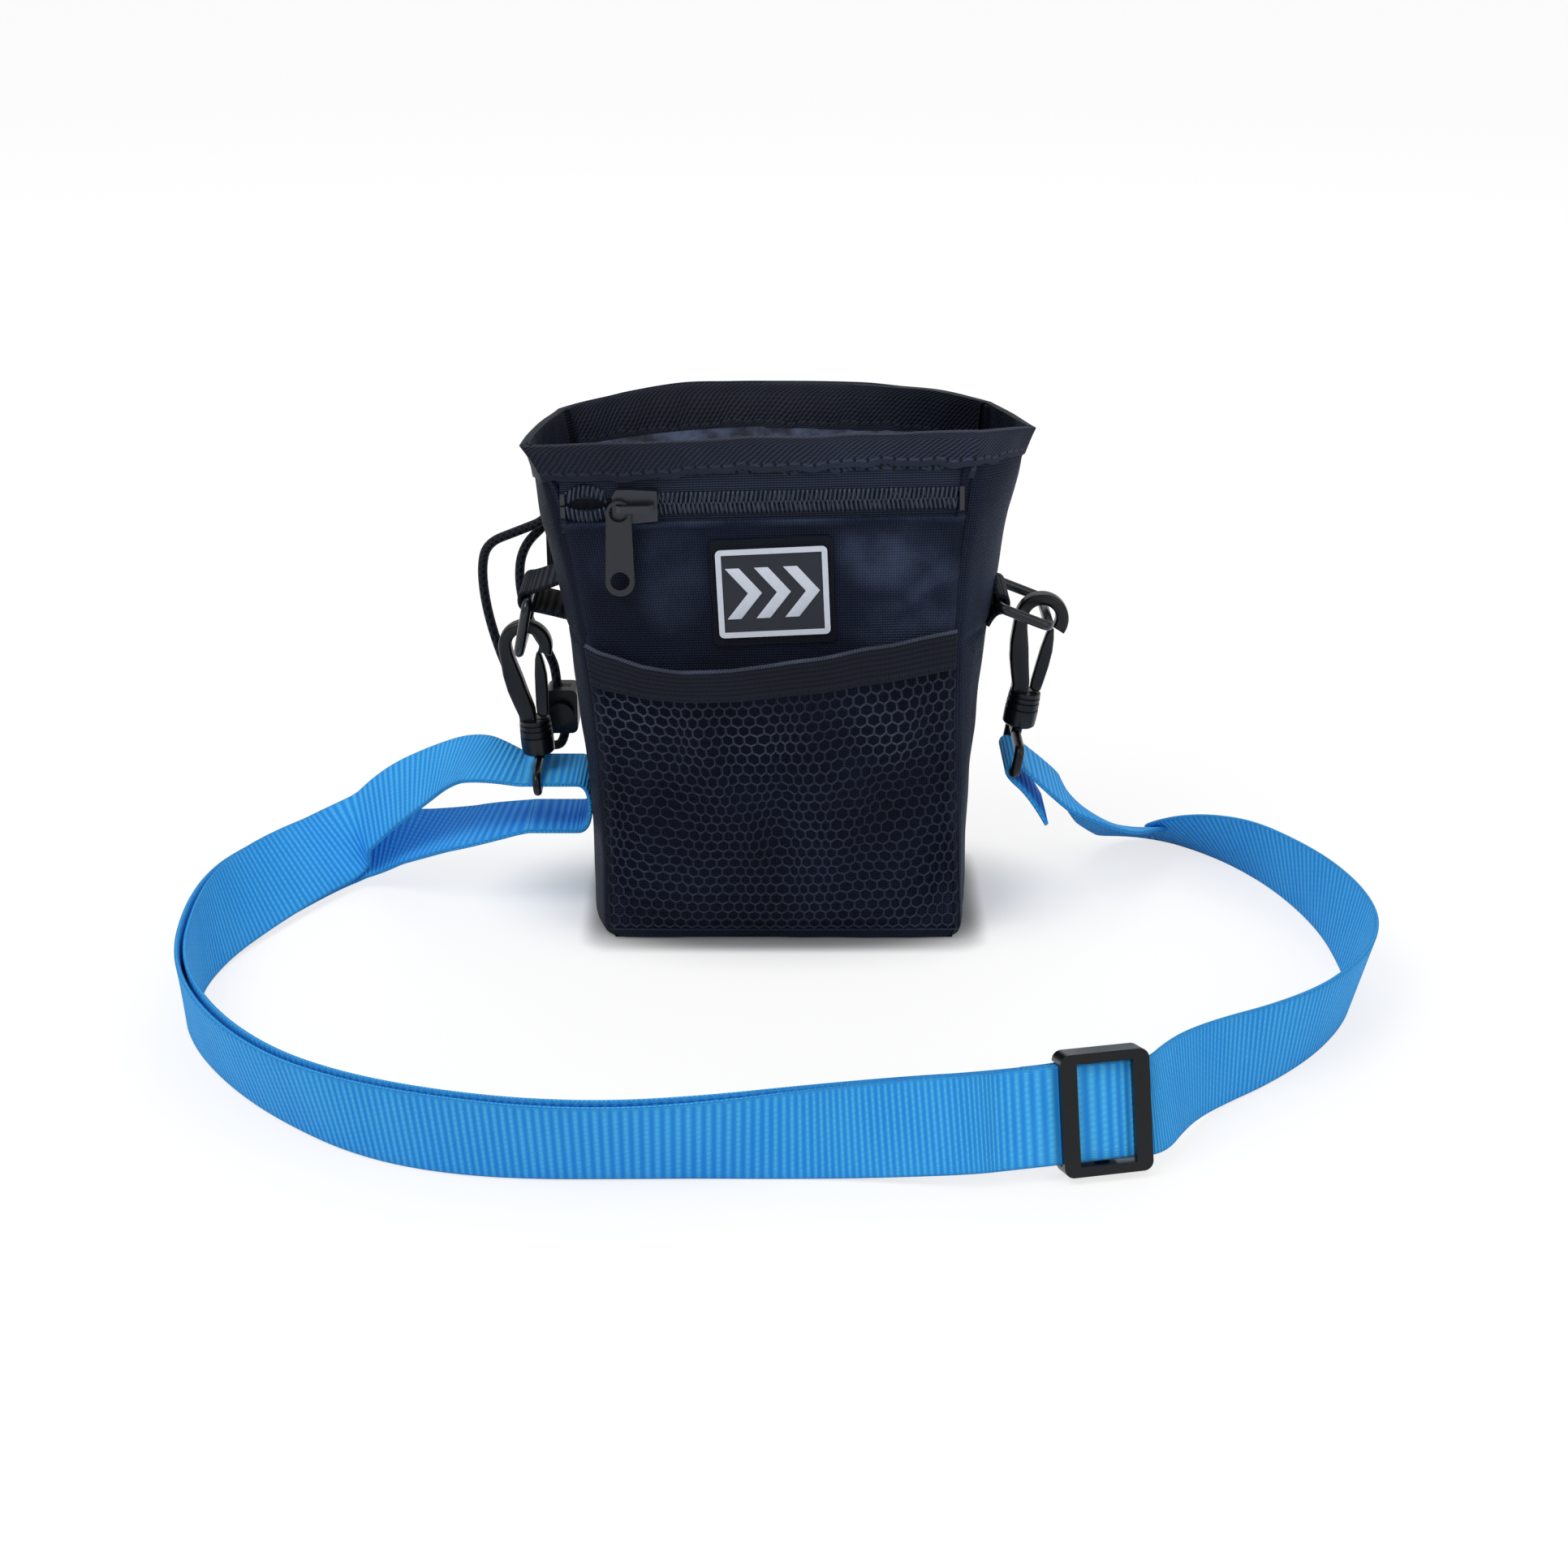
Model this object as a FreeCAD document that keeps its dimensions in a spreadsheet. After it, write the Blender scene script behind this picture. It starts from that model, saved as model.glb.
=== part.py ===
"""Treat pouch with a zipped front pocket, a mesh pocket and a clip-on webbing shoulder strap.

The origin is the middle of the base on the floor. The front of the pouch faces -Y, +X is to the right
and +Z is up. All sizes are in millimetres and angles in degrees.
"""
import FreeCAD
import Part
import math
import os
import Sketcher
from FreeCAD import Placement, Rotation, Vector

# Driving sizes: name and value, grouped by the piece that they belong to

SIZES = [
    # pouch body
    ("bag_height", 150.0),
    ("base_thickness", 1.5),
    ("wall", 1.2),
    ("base_half_width", 54.0),
    ("base_half_depth", 28.0),
    ("front_y", -30.0),
    ("front_upright_share", 0.45),
    ("mouth_left_x", -73.8),
    ("mouth_right_x", 69.4),
    ("mouth_corner_y", -15.0),
    ("mouth_back_y", 30.5),
    ("seam_front_inset", 1.6),
    ("seam_front_left_mouth", 68.2),
    ("seam_front_right_mouth", 53.6),
    ("seam_back_inset", 2.5),
    ("seam_back_left_mouth", 64.3),
    ("seam_back_right_mouth", 59.8),
    ("seam_back_base_y", 26.8),
    ("seam_back_mouth_y", 10.0),
    ("rim_tilt", 1.4),
    ("hem_height", 10.0),
    ("binding_thickness", 0.7),
    ("collar_thickness", 0.8),
    ("collar_reach", 5.4),
    ("collar_drop", 30.0),
    ("hem_inner", 5.6),
    # front zip
    ("zip_drop", 16.0),
    ("zip_tilt", 1.2),
    ("zip_left", -62.6),
    ("zip_right", 50.4),
    ("zip_window_half", 5.4),
    ("tape_thickness", 0.5),
    ("tape_overlap", 2.8),
    ("tape_gap_half", 1.6),
    ("coil_pitch", 2.0),
    ("coil_wire", 1.3),
    ("coil_inner", 0.25),
    ("coil_outer", 3.2),
    ("stop_length", 1.3),
    ("slider_centre", -41.6),
    ("slider_length", 12.6),
    ("slider_front_width", 9.8),
    ("slider_back_width", 8.6),
    ("slider_plate", 1.2),
    ("slider_top", 2.2),
    ("slider_lower_plate", 2.2),
    ("slider_lower_thickness", 1.0),
    ("slider_clear", -1.4),
    ("slider_flange", 0.6),
    ("slider_flange_reach", 0.9),
    ("coil_gap", 0.3),
    ("coil_spread", 5.0),
    ("bail_width", 2.0),
    ("bail_lift", 0.0),
    ("bail_bar", 1.2),
    ("bail_rise", 3.2),
    ("bail_leg", 1.4),
    ("bail_left", -4.5),
    ("bail_right", 4.7),
    ("pull_thickness", 1.5),
    ("pull_top_radius", 3.5),
    ("pull_bottom_radius", 4.1),
    ("pull_spacing", 20.1),
    ("pull_eye_radius", 2.6),
    ("pull_eye_drop", 1.3),
    ("pull_hole", 5.4),
    ("pull_clearance", 0.25),
    ("lining_depth", 3.9),
    ("lining_wall", 0.7),
    ("lining_drop", 74.0),
    ("lining_hem", 6.6),
    ("lining_margin", 1.5),
    # front mesh pocket, elastic band and plain patch
    ("mesh_thickness", 0.9),
    ("mesh_bow", 6.6),
    ("mesh_flange", 3.5),
    ("mesh_margin", 0.4),
    ("mesh_bottom", 3.5),
    ("band_height", 8.6),
    ("band_thickness", 1.6),
    ("band_drop", 64.0),
    ("patch_x", -3.1),
    ("patch_drop", 42.0),
    ("patch_width", 34.6),
    ("patch_height", 31.3),
    ("patch_turn", 2.7),
    ("patch_backing", 0.8),
    ("plate_width", 31.6),
    ("plate_height", 26.0),
    ("plate_thickness", 0.9),
    ("plate_rim", 1.6),
    ("plate_recess", 0.35),
    ("plate_corner", 1.5),
    # webbing tabs and rectangular rings
    ("ring_wire", 3.0),
    ("ring_width", 28.0),
    ("ring_drop", 15.5),
    ("ring_corner", 2.4),
    ("ring_left_reach", 12.1345),
    ("ring_left_z", 98.6),
    ("ring_left_swing", 11.2),
    ("ring_right_reach", 2.4507),
    ("ring_right_z", 97.6),
    ("ring_right_swing", 68.2),
    ("tab_width", 22.0),
    ("tab_thickness", 1.3),
    ("tab_clearance", 0.2),
    ("tab_left_rise", 4.4),
    ("tab_left_fall", 9.6),
    ("tab_right_rise", 8.4),
    ("tab_right_fall", 6.6),
    # swivel hooks
    ("hook_left_offset", 0.5),
    ("hook_left_drop", 51.1),
    ("hook_left_tilt", 4.7),
    ("hook_right_offset", 7.6),
    ("hook_right_drop", 41.1),
    ("hook_right_tilt", 9.8),
    ("hook_arch_height", 33.9),
    ("hook_outer", 8.0),
    ("hook_inner", 4.5),
    ("hook_thickness", 4.8),
    ("hook_edge", 1.0),
    ("barrel_height", 10.0),
    ("barrel_lower", 4.9),
    ("barrel_upper", 4.2),
    ("barrel_groove", 0.5),
    ("barrel_floor", 2.0),
    ("gate_pin_x", 2.7),
    ("gate_pin_z", 13.0),
    ("gate_pin", 1.5),
    ("gate_knuckle", 1.9),
    ("gate_width", 2.4),
    ("gate_thickness", 3.0),
    ("gate_length", 17.6),
    ("gate_lean", 5.0),
    ("gate_clearance", 0.15),
    ("pin_clearance", 0.05),
    ("eye_wire", 3.0),
    ("eye_width", 29.0),
    ("eye_drop", 7.8),
    ("eye_gap", 1.7),
    ("eye_corner", 1.9),
    ("post", 3.2),
    ("post_head", 6.0),
    ("post_head_height", 2.0),
    ("post_clearance", 0.08),
    # shoulder strap and its slider
    ("strap_width", 25.0),
    ("strap_thickness", 1.3),
    ("strap_layer", 2.35),
    ("glide_x", 79.2),
    ("glide_y", -165.0),
    ("glide_z", 16.15),
    ("glide_heading", 12.0),
    ("glide_lean", 16.0),
    ("glide_length", 23.0),
    ("glide_height", 31.0),
    ("glide_slot", 26.0),
    ("glide_bar", 4.2),
    ("glide_bar_depth", 2.2),
    ("glide_centre_bar", 3.2),
    ("glide_centre_depth", 2.0),
    ("glide_clearance", 0.2),
    ("glide_corner", 2.5),
    ("fold_tail", 20.0),
    ("fold_front", 0.75),
    ("fold_play", 0.06),
    # drawstring and its lock
    ("cord", 2.6),
    ("cord_play", 0.05),
    ("eyelet", 3.6),
    ("eyelet_height", 1.2),
    ("eyelet_drop", 16.0),
    ("lock_x", -68.0),
    ("lock_y", 18.4),
    ("lock_drop", 78.8),
    ("lock_width", 9.6),
    ("lock_height", 14.0),
    ("lock_depth", 9.5),
    ("lock_corner", 2.0),
    ("plunger", 7.0),
    ("plunger_clearance", 0.1),
    ("plunger_travel", 2.0),
    ("plunger_out", 2.6),
    ("lock_floor", 1.2),
    ("lock_spring_wire", 0.6),
    ("lock_spring_turns", 3.0),
    # small sewn pieces
    ("seam_tab_width", 13.4),
    ("seam_tab_height", 11.0),
    ("seam_tab_thickness", 1.2),
    ("seam_tab_x", -71.4),
    ("seam_tab_y", 15.6),
    ("seam_tab_z", 101.0),
    ("belt_loop_width", 38.0),
    ("belt_loop_low", 44.0),
    ("belt_loop_high", 122.0),
    ("belt_loop_foot", 9.0),
    ("belt_loop_gap", 5.5),
    ("belt_loop_thickness", 1.4),
]

# Rows of the strap, in the order right eye, right side, front, left side: x, y, z, lean.
# The lean is the angle from upright, and a positive one has the upper edge outward.

STRAP_RISE = [
    (72.4, 0.0, 45.6, -90.0),
    (81.0, 2.0, 38.2, -88.0),
    (90.0, 7.5, 29.0, -84.0),
    (99.0, 17.0, 18.5, -78.0),
    (107.0, 28.0, 10.5, -72.0),
    (114.5, 34.5, 6.0, -64.0),
    (124.5, 29.5, 7.6, -52.0),
]
STRAP_RIGHT = [
    (136.5, 17.6, 10.9, -34.0),
    (147.0, 4.5, 12.1, -20.0),
    (155.3, -13.4, 12.6, -10.0),
    (161.3, -31.4, 12.7, 1.0),
    (164.4, -51.0, 12.6, 12.0),
    (164.3, -69.5, 12.5, 14.0),
    (158.5, -87.0, 12.5, 14.0),
    (150.2, -100.5, 12.5, 12.0),
    (141.0, -112.0, 12.6, 10.0),
    (127.8, -123.6, 12.7, 4.0),
    (115.0, -132.4, 12.9, -3.0),
    (105.5, -141.5, 13.9, -8.0),
    (98.8, -151.5, 15.4, -13.0),
    (92.9, -162.09, 16.15, -16.0),
]
STRAP_DOUBLE = [
    (46.9, -171.86, 16.15, -16.0),
    (32.5, -170.6, 14.5, -12.5),
    (17.5, -170.3, 13.2, -5.5),
    (3.0, -171.0, 12.6, 2.0),
    (-18.0, -173.3, 12.5, 13.0),
    (-41.0, -174.9, 12.4, 18.0),
    (-62.0, -174.4, 12.4, 16.0),
    (-80.0, -171.8, 12.5, 13.0),
    (-97.0, -166.9, 12.5, 12.0),
    (-112.5, -159.6, 12.5, 14.0),
    (-127.0, -149.0, 12.3, 17.0),
    (-140.5, -135.8, 12.4, 16.0),
    (-152.0, -120.5, 12.5, 13.0),
    (-161.0, -104.0, 12.6, 8.0),
    (-166.4, -88.0, 12.6, 3.0),
    (-168.6, -72.0, 12.6, 1.0),
    (-168.3, -57.5, 12.6, 5.0),
    (-165.4, -41.0, 12.6, 15.0),
    (-159.6, -23.0, 11.6, 30.0),
    (-150.3, -2.5, 10.3, 42.0),
    (-139.0, 14.5, 9.6, 50.0),
]
STRAP_LOW_END = [
    (-122.5, 15.0, 11.8, 62.0),
    (-105.5, 6.5, 18.2, 74.0),
    (-91.0, 1.0, 23.4, 82.0),
    (-77.0, 0.0, 26.4, 90.0),
]
STRAP_HIGH_END = [
    (-124.0, 10.0, 23.6, 58.0),
    (-108.5, 6.5, 33.0, 68.0),
    (-98.0, 3.5, 40.0, 76.0),
    (-88.5, 0.5, 41.5, 84.0),
    (-79.0, 0.0, 38.69, 90.0),
]
STRAP_TURN = [(-77.0, 26.4), (-58.2, 26.4), (-58.2, 38.69), (-79.0, 38.69)]
STRAP_TURN_RADIUS = 6.1
STRAP_TAIL = [(74.0, 37.6), (79.0, 28.6)]

# Strands of the drawstring, from the eyelet at the hem to the lock

STRAND_OUTER = [
    (-66.1, 9.6, 134.0),
    (-70.2, 13.7, 132.5),
    (-72.6, 17.4, 126.0),
    (-74.0, 18.4, 117.0),
    (-80.4, 18.4, 111.6),
    (-87.6, 18.4, 108.2),
    (-90.6, 18.4, 100.6),
    (-89.4, 18.4, 86.0),
    (-86.4, 18.4, 74.4),
    (-82.6, 18.4, 62.0),
    (-79.0, 18.4, 49.6),
    (-72.6, 18.4, 41.6),
    (-66.69, 18.4, 44.0),
    (-66.69, 18.4, 62.2),
]
STRAND_INNER = [
    (-64.2, 11.5, 134.0),
    (-68.3, 15.6, 132.5),
    (-69.6, 20.8, 124.4),
    (-72.0, 21.4, 114.0),
    (-77.4, 19.6, 104.4),
    (-79.5, 18.6, 93.0),
    (-77.0, 18.4, 81.6),
    (-71.9, 18.4, 73.2),
    (-69.31, 18.4, 65.6),
    (-69.31, 18.4, 48.2),
]

DOC = FreeCAD.newDocument("pouch")
SHEET = DOC.addObject("Spreadsheet::Sheet", "Sizes")
for row, (name, value) in enumerate(SIZES, start=1):
    SHEET.set("A%d" % row, name)
    SHEET.set("B%d" % row, str(value))
    SHEET.setAlias("B%d" % row, name)
DOC.recompute()
NODES = {}
TINY = 1e-6


def size(name):
    """The value of one driving size."""
    return float(getattr(SHEET, name))


def cell(text):
    """An expression with each size name written as its cell of the sheet."""
    words = text.replace("(", " ( ").replace(")", " ) ").split()
    names = {row[0] for row in SIZES}
    return " ".join("Sizes." + word if word in names else word for word in words)


def bind(item, **rules):
    """Tie properties of an object to the sheet."""
    for name, rule in rules.items():
        item.setExpression(name, cell(rule))
    return item


def piece(label, item):
    """Name a finished sub-part; its label is the name of its file."""
    item.Label = label
    NODES[label] = item
    return item


def feature(label, shape, placement=None):
    """A sub-part with a shape of its own, placed afterwards."""
    item = DOC.addObject("Part::Feature", label)
    item.Shape = shape
    if placement is not None:
        item.Placement = placement
    return piece(label, item)


def turned(axis, angle, base=Vector(0, 0, 0)):
    """A placement turned about an axis through its own base."""
    return Placement(base, Rotation(axis, angle))


X_AXIS = Vector(1, 0, 0)
Y_AXIS = Vector(0, 1, 0)
Z_AXIS = Vector(0, 0, 1)


# Sketch and solid helpers for the moulded and cast pieces


def sketch_on(body, role, name, offset="0"):
    """A sketch on one of the body's own planes, moved off it by an expression."""
    planes = [item for item in body.Origin.OriginFeatures if item.Role == role]
    sketch = body.newObject("Sketcher::SketchObject", name)
    sketch.AttachmentSupport = [(planes[0], "")]
    sketch.MapMode = "FlatFace"
    if offset != "0":
        sketch.setExpression(".AttachmentOffset.Base.z", cell(offset))
    return sketch


def worked_out(text):
    """The value of an expression of sizes."""
    return float(SHEET.evalExpression(cell(text)))


def outline(sketch, corners):
    """A closed line through corners that are given as pairs of expressions."""
    spots = [Vector(worked_out(a), worked_out(b), 0) for a, b in corners]
    count = len(corners)
    first = sketch.GeometryCount
    for i in range(count):
        sketch.addGeometry(Part.LineSegment(spots[i], spots[(i + 1) % count]), False)
    for i in range(count):
        follow = first + (i + 1) % count
        sketch.addConstraint(Sketcher.Constraint("Coincident", first + i, 2, follow, 1))
    for i, (across, along) in enumerate(corners):
        pair = (("DistanceX", across, spots[i].x), ("DistanceY", along, spots[i].y))
        for kind, rule, value in pair:
            rank = sketch.addConstraint(Sketcher.Constraint(kind, -1, 1, first + i, 1, value))
            sketch.setExpression("Constraints[%d]" % rank, cell(rule))


def ring_line(sketch, across, along, radius):
    """A circle whose centre and radius are expressions."""
    spot = Vector(worked_out(across), worked_out(along), 0)
    mark = sketch.addGeometry(Part.Circle(spot, Z_AXIS, worked_out(radius)), False)
    rules = (("DistanceX", across, spot.x), ("DistanceY", along, spot.y))
    for kind, rule, value in rules:
        rank = sketch.addConstraint(Sketcher.Constraint(kind, -1, 1, mark, 3, value))
        sketch.setExpression("Constraints[%d]" % rank, cell(rule))
    rank = sketch.addConstraint(Sketcher.Constraint("Radius", mark, worked_out(radius)))
    sketch.setExpression("Constraints[%d]" % rank, cell(radius))


def pad(body, sketch, length, both=False, back=False):
    """Material as long as an expression says."""
    item = body.newObject("PartDesign::Pad", "Pad")
    item.Profile = sketch
    item.setExpression("Length", cell(length))
    item.Midplane = both
    item.Reversed = back
    DOC.recompute()
    return item


def cut(body, sketch, length, both=False, back=False):
    """A pocket that has to take material away."""
    before = body.Shape.Volume
    item = body.newObject("PartDesign::Pocket", "Pocket")
    item.Profile = sketch
    item.setExpression("Length", cell(length))
    item.Midplane = both
    item.Reversed = back
    DOC.recompute()
    if body.Shape.Volume > before - TINY:
        raise RuntimeError("a pocket of %s cuts nothing" % body.Label)
    return item


def new_body(name):
    """An empty body."""
    return DOC.addObject("PartDesign::Body", name)


def edges_where(shape, test):
    """Names of the edges that pass a test."""
    return ["Edge%d" % (i + 1) for i, edge in enumerate(shape.Edges) if test(edge)]


def round_edges(body, radius, test):
    """Fillets on the body's edges that pass a test."""
    base = body.Tip
    item = body.newObject("PartDesign::Fillet", "Fillet")
    item.Base = (base, edges_where(base.Shape, test))
    item.setExpression("Radius", cell(radius))
    DOC.recompute()
    return item


def along(edge, axis):
    """True for a straight edge that runs along an axis."""
    if edge.Curve.TypeId != "Part::GeomLine":
        return False
    way = edge.Vertexes[-1].Point.sub(edge.Vertexes[0].Point)
    return way.Length > TINY and abs(abs(way.dot(axis)) / way.Length - 1) < TINY


# Geometry of the sewn pouch


def height_share(z):
    """How far up the wall a height is, from 0 at the base to 1 at the rim."""
    return (z - size("base_thickness")) / (size("bag_height") - size("base_thickness"))


def flare(share, low, high):
    """A size that grows with the square of the height."""
    return low + (high - low) * share ** 2


def tilt_at(share):
    """Rise of a level per millimetre to the right."""
    return math.tan(math.radians(size("rim_tilt") * share))


def lifted(share, x, y):
    """A point of one level; the levels tilt more and more towards the rim."""
    wall_height = size("bag_height") - size("base_thickness")
    z = size("base_thickness") + wall_height * share + x * tilt_at(share)
    return Vector(x, y, z)


def plan(share):
    """Named points of the pouch's outline at one level, as (x, y)."""
    front = -size("base_half_depth")
    ramp = min(1.0, share / size("front_upright_share"))
    front += (size("front_y") + size("base_half_depth")) * ramp
    back_y = flare(share, size("seam_back_base_y"), size("seam_back_mouth_y"))
    corner_y = flare(share, 0.0, size("mouth_corner_y"))
    front_base = size("base_half_width") - size("seam_front_inset")
    back_base = size("base_half_width") - size("seam_back_inset")
    return {
        "front_left": (-flare(share, front_base, size("seam_front_left_mouth")), front),
        "left": (flare(share, -size("base_half_width"), size("mouth_left_x")), corner_y),
        "back_left": (-flare(share, back_base, size("seam_back_left_mouth")), back_y),
        "back": (0.0, flare(share, size("base_half_depth"), size("mouth_back_y"))),
        "back_right": (flare(share, back_base, size("seam_back_right_mouth")), back_y),
        "right": (flare(share, size("base_half_width"), size("mouth_right_x")), corner_y),
        "front_right": (flare(share, front_base, size("seam_front_right_mouth")), front),
    }


INWARD = {
    "front_left": ((0.0, 1.0), (0.0, 1.0)),
    "left": ((1.0, 0.0), (0.94, 0.34)),
    "back_left": ((0.0, -1.0), (0.6, -0.8)),
    "back": ((0.0, -1.0), (0.0, -1.0)),
    "back_right": ((0.0, -1.0), (-0.6, -0.8)),
    "right": ((-1.0, 0.0), (-0.94, 0.34)),
    "front_right": ((0.0, 1.0), (0.0, 1.0)),
}


def spot(share, name, inset):
    """A named point of a level, moved into the pouch by an inset."""
    x, y = plan(share)[name]
    low, high = INWARD[name]
    dx = low[0] + (high[0] - low[0]) * share ** 2
    dy = low[1] + (high[1] - low[1]) * share ** 2
    return lifted(share, x + dx * inset, y + dy * inset)


def arc(start, middle, end):
    """An arc through three points, as an edge."""
    return Part.Arc(start, middle, end).toShape()


def levels():
    """The heights at which the walls are shaped."""
    hem = height_share(size("bag_height") - size("hem_height"))
    hem_inside = height_share(size("bag_height") - size("hem_inner"))
    return [0.0, 0.25, size("front_upright_share"), 0.64, 0.82, hem, hem_inside, 1.0]


def strip(names, share, outer, inner):
    """The closed outline of one wall at one level; names holds its two or three points."""
    outside = [spot(share, name, outer) for name in names]
    inside = [spot(share, name, inner) for name in names]
    if len(names) == 3:
        edges = [arc(*outside), Part.makeLine(outside[2], inside[2])]
        edges += [arc(*reversed(inside)), Part.makeLine(inside[0], outside[0])]
        return Part.Wire(edges)
    return Part.makePolygon([outside[0], outside[1], inside[1], inside[0], outside[0]])


def wall_solid(names, shares, outer, inner):
    """A wall between two insets over a list of levels."""
    wires = [strip(names, share, outer, inner) for share in shares]
    return Part.makeLoft(wires, True, True)


LEFT_SIDE = ("front_left", "left", "back_left")
BACK_SIDE = ("back_left", "back", "back_right")
RIGHT_SIDE = ("back_right", "right", "front_right")
FRONT_SIDE = ("front_right", "front_left")
SIDES = (LEFT_SIDE, BACK_SIDE, RIGHT_SIDE, FRONT_SIDE)


def level_wire(share, inset):
    """The whole outline of the pouch at one level."""
    edges = []
    for names in SIDES:
        ends = [spot(share, name, inset) for name in names]
        edges.append(arc(*ends) if len(names) == 3 else Part.makeLine(*ends))
    return Part.Wire(edges)


def shell_between(shares, outer, inner):
    """A closed band round the pouch, between two insets."""
    outside = Part.makeLoft([level_wire(share, outer) for share in shares], True, True)
    inside = Part.makeLoft([level_wire(share, inner) for share in shares], True, True)
    return outside.cut(inside)


def make_pouch():
    """Front, back and side panels that meet at their seams, and the base under them."""
    wall = size("wall")
    feature("back_panel", wall_solid(BACK_SIDE, levels(), 0.0, wall))
    feature("left_gusset", wall_solid(LEFT_SIDE, levels(), 0.0, wall))
    feature("right_gusset", wall_solid(RIGHT_SIDE, levels(), 0.0, wall))
    panel = DOC.addObject("Part::Feature", "front_blank")
    panel.Shape = wall_solid(FRONT_SIDE, levels(), 0.0, wall)
    window = bind(
        DOC.addObject("Part::Box", "zip_window"),
        Length="zip_right - zip_left",
        Width="wall * 3",
        Height="zip_window_half * 2",
    )
    corner = Vector(size("zip_left"), -wall, -size("zip_window_half"))
    window.Placement = zip_frame().multiply(Placement(corner, Rotation()))
    front = DOC.addObject("Part::Cut", "front_cut")
    front.Base = panel
    front.Tool = window
    piece("front_panel", front)
    face = Part.Face(level_wire(0.0, 0.0))
    base = face.extrude(Vector(0, 0, -size("base_thickness")))
    feature("base_panel", base)


def make_rim():
    """The twill binding over the top edge, and the gathered collar inside the mouth."""
    wall = size("wall")
    fold = size("binding_thickness")
    hem = levels()[-3:]
    outer = shell_between(hem, -fold, 0.0)
    inner = shell_between(hem[1:], wall, wall + fold)
    top = level_face(1.0, -fold).cut(level_face(1.0, wall + fold))
    cap = top.extrude(Vector(0, 0, fold))
    feature("rim_binding", outer.fuse([inner, cap]).removeSplitter())
    thick = size("collar_thickness")
    sewn = wall + fold
    reach = size("collar_reach")
    stages = [
        (size("bag_height") - size("hem_inner") * 0.4, sewn),
        (size("bag_height") - size("hem_inner"), sewn + reach),
        (size("bag_height") - size("collar_drop"), sewn + reach * 1.5),
    ]
    outside = [level_wire(height_share(z), inset) for z, inset in stages]
    inside = [level_wire(height_share(z), inset + thick) for z, inset in stages]
    tube = Part.makeLoft(outside, True, True).cut(Part.makeLoft(inside, True, True))
    feature("drawstring_collar", tube)


def level_face(share, inset):
    """The flat face of one level."""
    return Part.Face(level_wire(share, inset))


# The front zip lies flat in its own frame: x along the zip, y into the pouch, z across


def zip_frame():
    """The frame of the zip on the face of the front panel."""
    middle = Vector(0, size("front_y"), size("bag_height") - size("zip_drop"))
    return turned(Y_AXIS, -size("zip_tilt"), middle)


def zip_body(name):
    """A body that is placed in the frame of the zip."""
    body = new_body(name)
    body.Placement = zip_frame()
    return body


def slider_reach():
    """The open and the closed end of the slider, along the zip."""
    half = size("slider_length") / 2
    return size("slider_centre") - half, size("slider_centre") + half


def make_tapes():
    """Woven tapes behind the panel; between them the open stretch widens to the slider."""
    for label, side in (("zip_tape_upper", "1"), ("zip_tape_lower", "-1")):
        body = zip_body(label)
        sketch = sketch_on(body, "XZ_Plane", label + "_outline", "wall * -1")
        edge = "( zip_window_half + tape_overlap ) * " + side
        near = "tape_gap_half * " + side
        corners = [("zip_left", near), ("zip_right", near), ("zip_right", edge), ("zip_left", edge)]
        outline(sketch, corners)
        pad(body, sketch, "tape_thickness", back=True)
        piece(label, body)


def make_coil(label, side, start, end, angle, lift):
    """One row of coil: a stitched core with a tooth at every pitch, fused into one solid."""
    pitch = size("coil_pitch")
    count = int((end - start) / pitch)
    place = Placement(Vector(start, 0, lift), Rotation(Y_AXIS, -angle))
    body = new_body(label)
    body.Placement = zip_frame().multiply(place)
    core = sketch_on(body, "XZ_Plane", label + "_core", "wall * -1")
    low = "( coil_inner + coil_outer ) * 0.5 * " + side
    high = "coil_outer * " + side
    far = "%d * coil_pitch" % count
    outline(core, [("0", low), (far, low), (far, high), ("0", high)])
    pad(body, core, "coil_wire * 0.5")
    tooth = sketch_on(body, "XY_Plane", label + "_tooth", "coil_inner * " + side)
    shift = "coil_pitch * 0.5" if side == "1" else "coil_pitch * 0.5 - coil_wire * 0.05"
    ring_line(tooth, shift, "wall - coil_wire * 0.5", "coil_wire * 0.5")
    turn = pad(body, tooth, "coil_outer - coil_inner", back=side == "-1")
    rows = body.newObject("PartDesign::LinearPattern", label + "_turns")
    rows.Originals = [turn]
    rows.Direction = (core, ["H_Axis"])
    rows.setExpression("Length", cell("%d * coil_pitch" % (count - 1)))
    rows.Occurrences = count
    body.Tip = rows
    DOC.recompute()
    piece(label, body)


def make_coils():
    """Closed rows on the right of the slider, and open rows that run out to the left end."""
    open_end = slider_reach()[0]
    closed_start = size("slider_centre") + size("slider_clear")
    stop = size("stop_length") + size("coil_gap")
    last = size("zip_right") - stop
    make_coil("coil_upper", "1", closed_start, last, 0.0, 0.0)
    make_coil("coil_lower", "-1", closed_start, last, 0.0, 0.0)
    start = size("zip_left") + stop
    end = open_end - size("coil_gap")
    spread = size("coil_spread")
    make_coil("coil_open_upper", "1", start, end, spread, 0.0)
    make_coil("coil_open_lower", "-1", start, end, -spread, 0.0)


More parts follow.
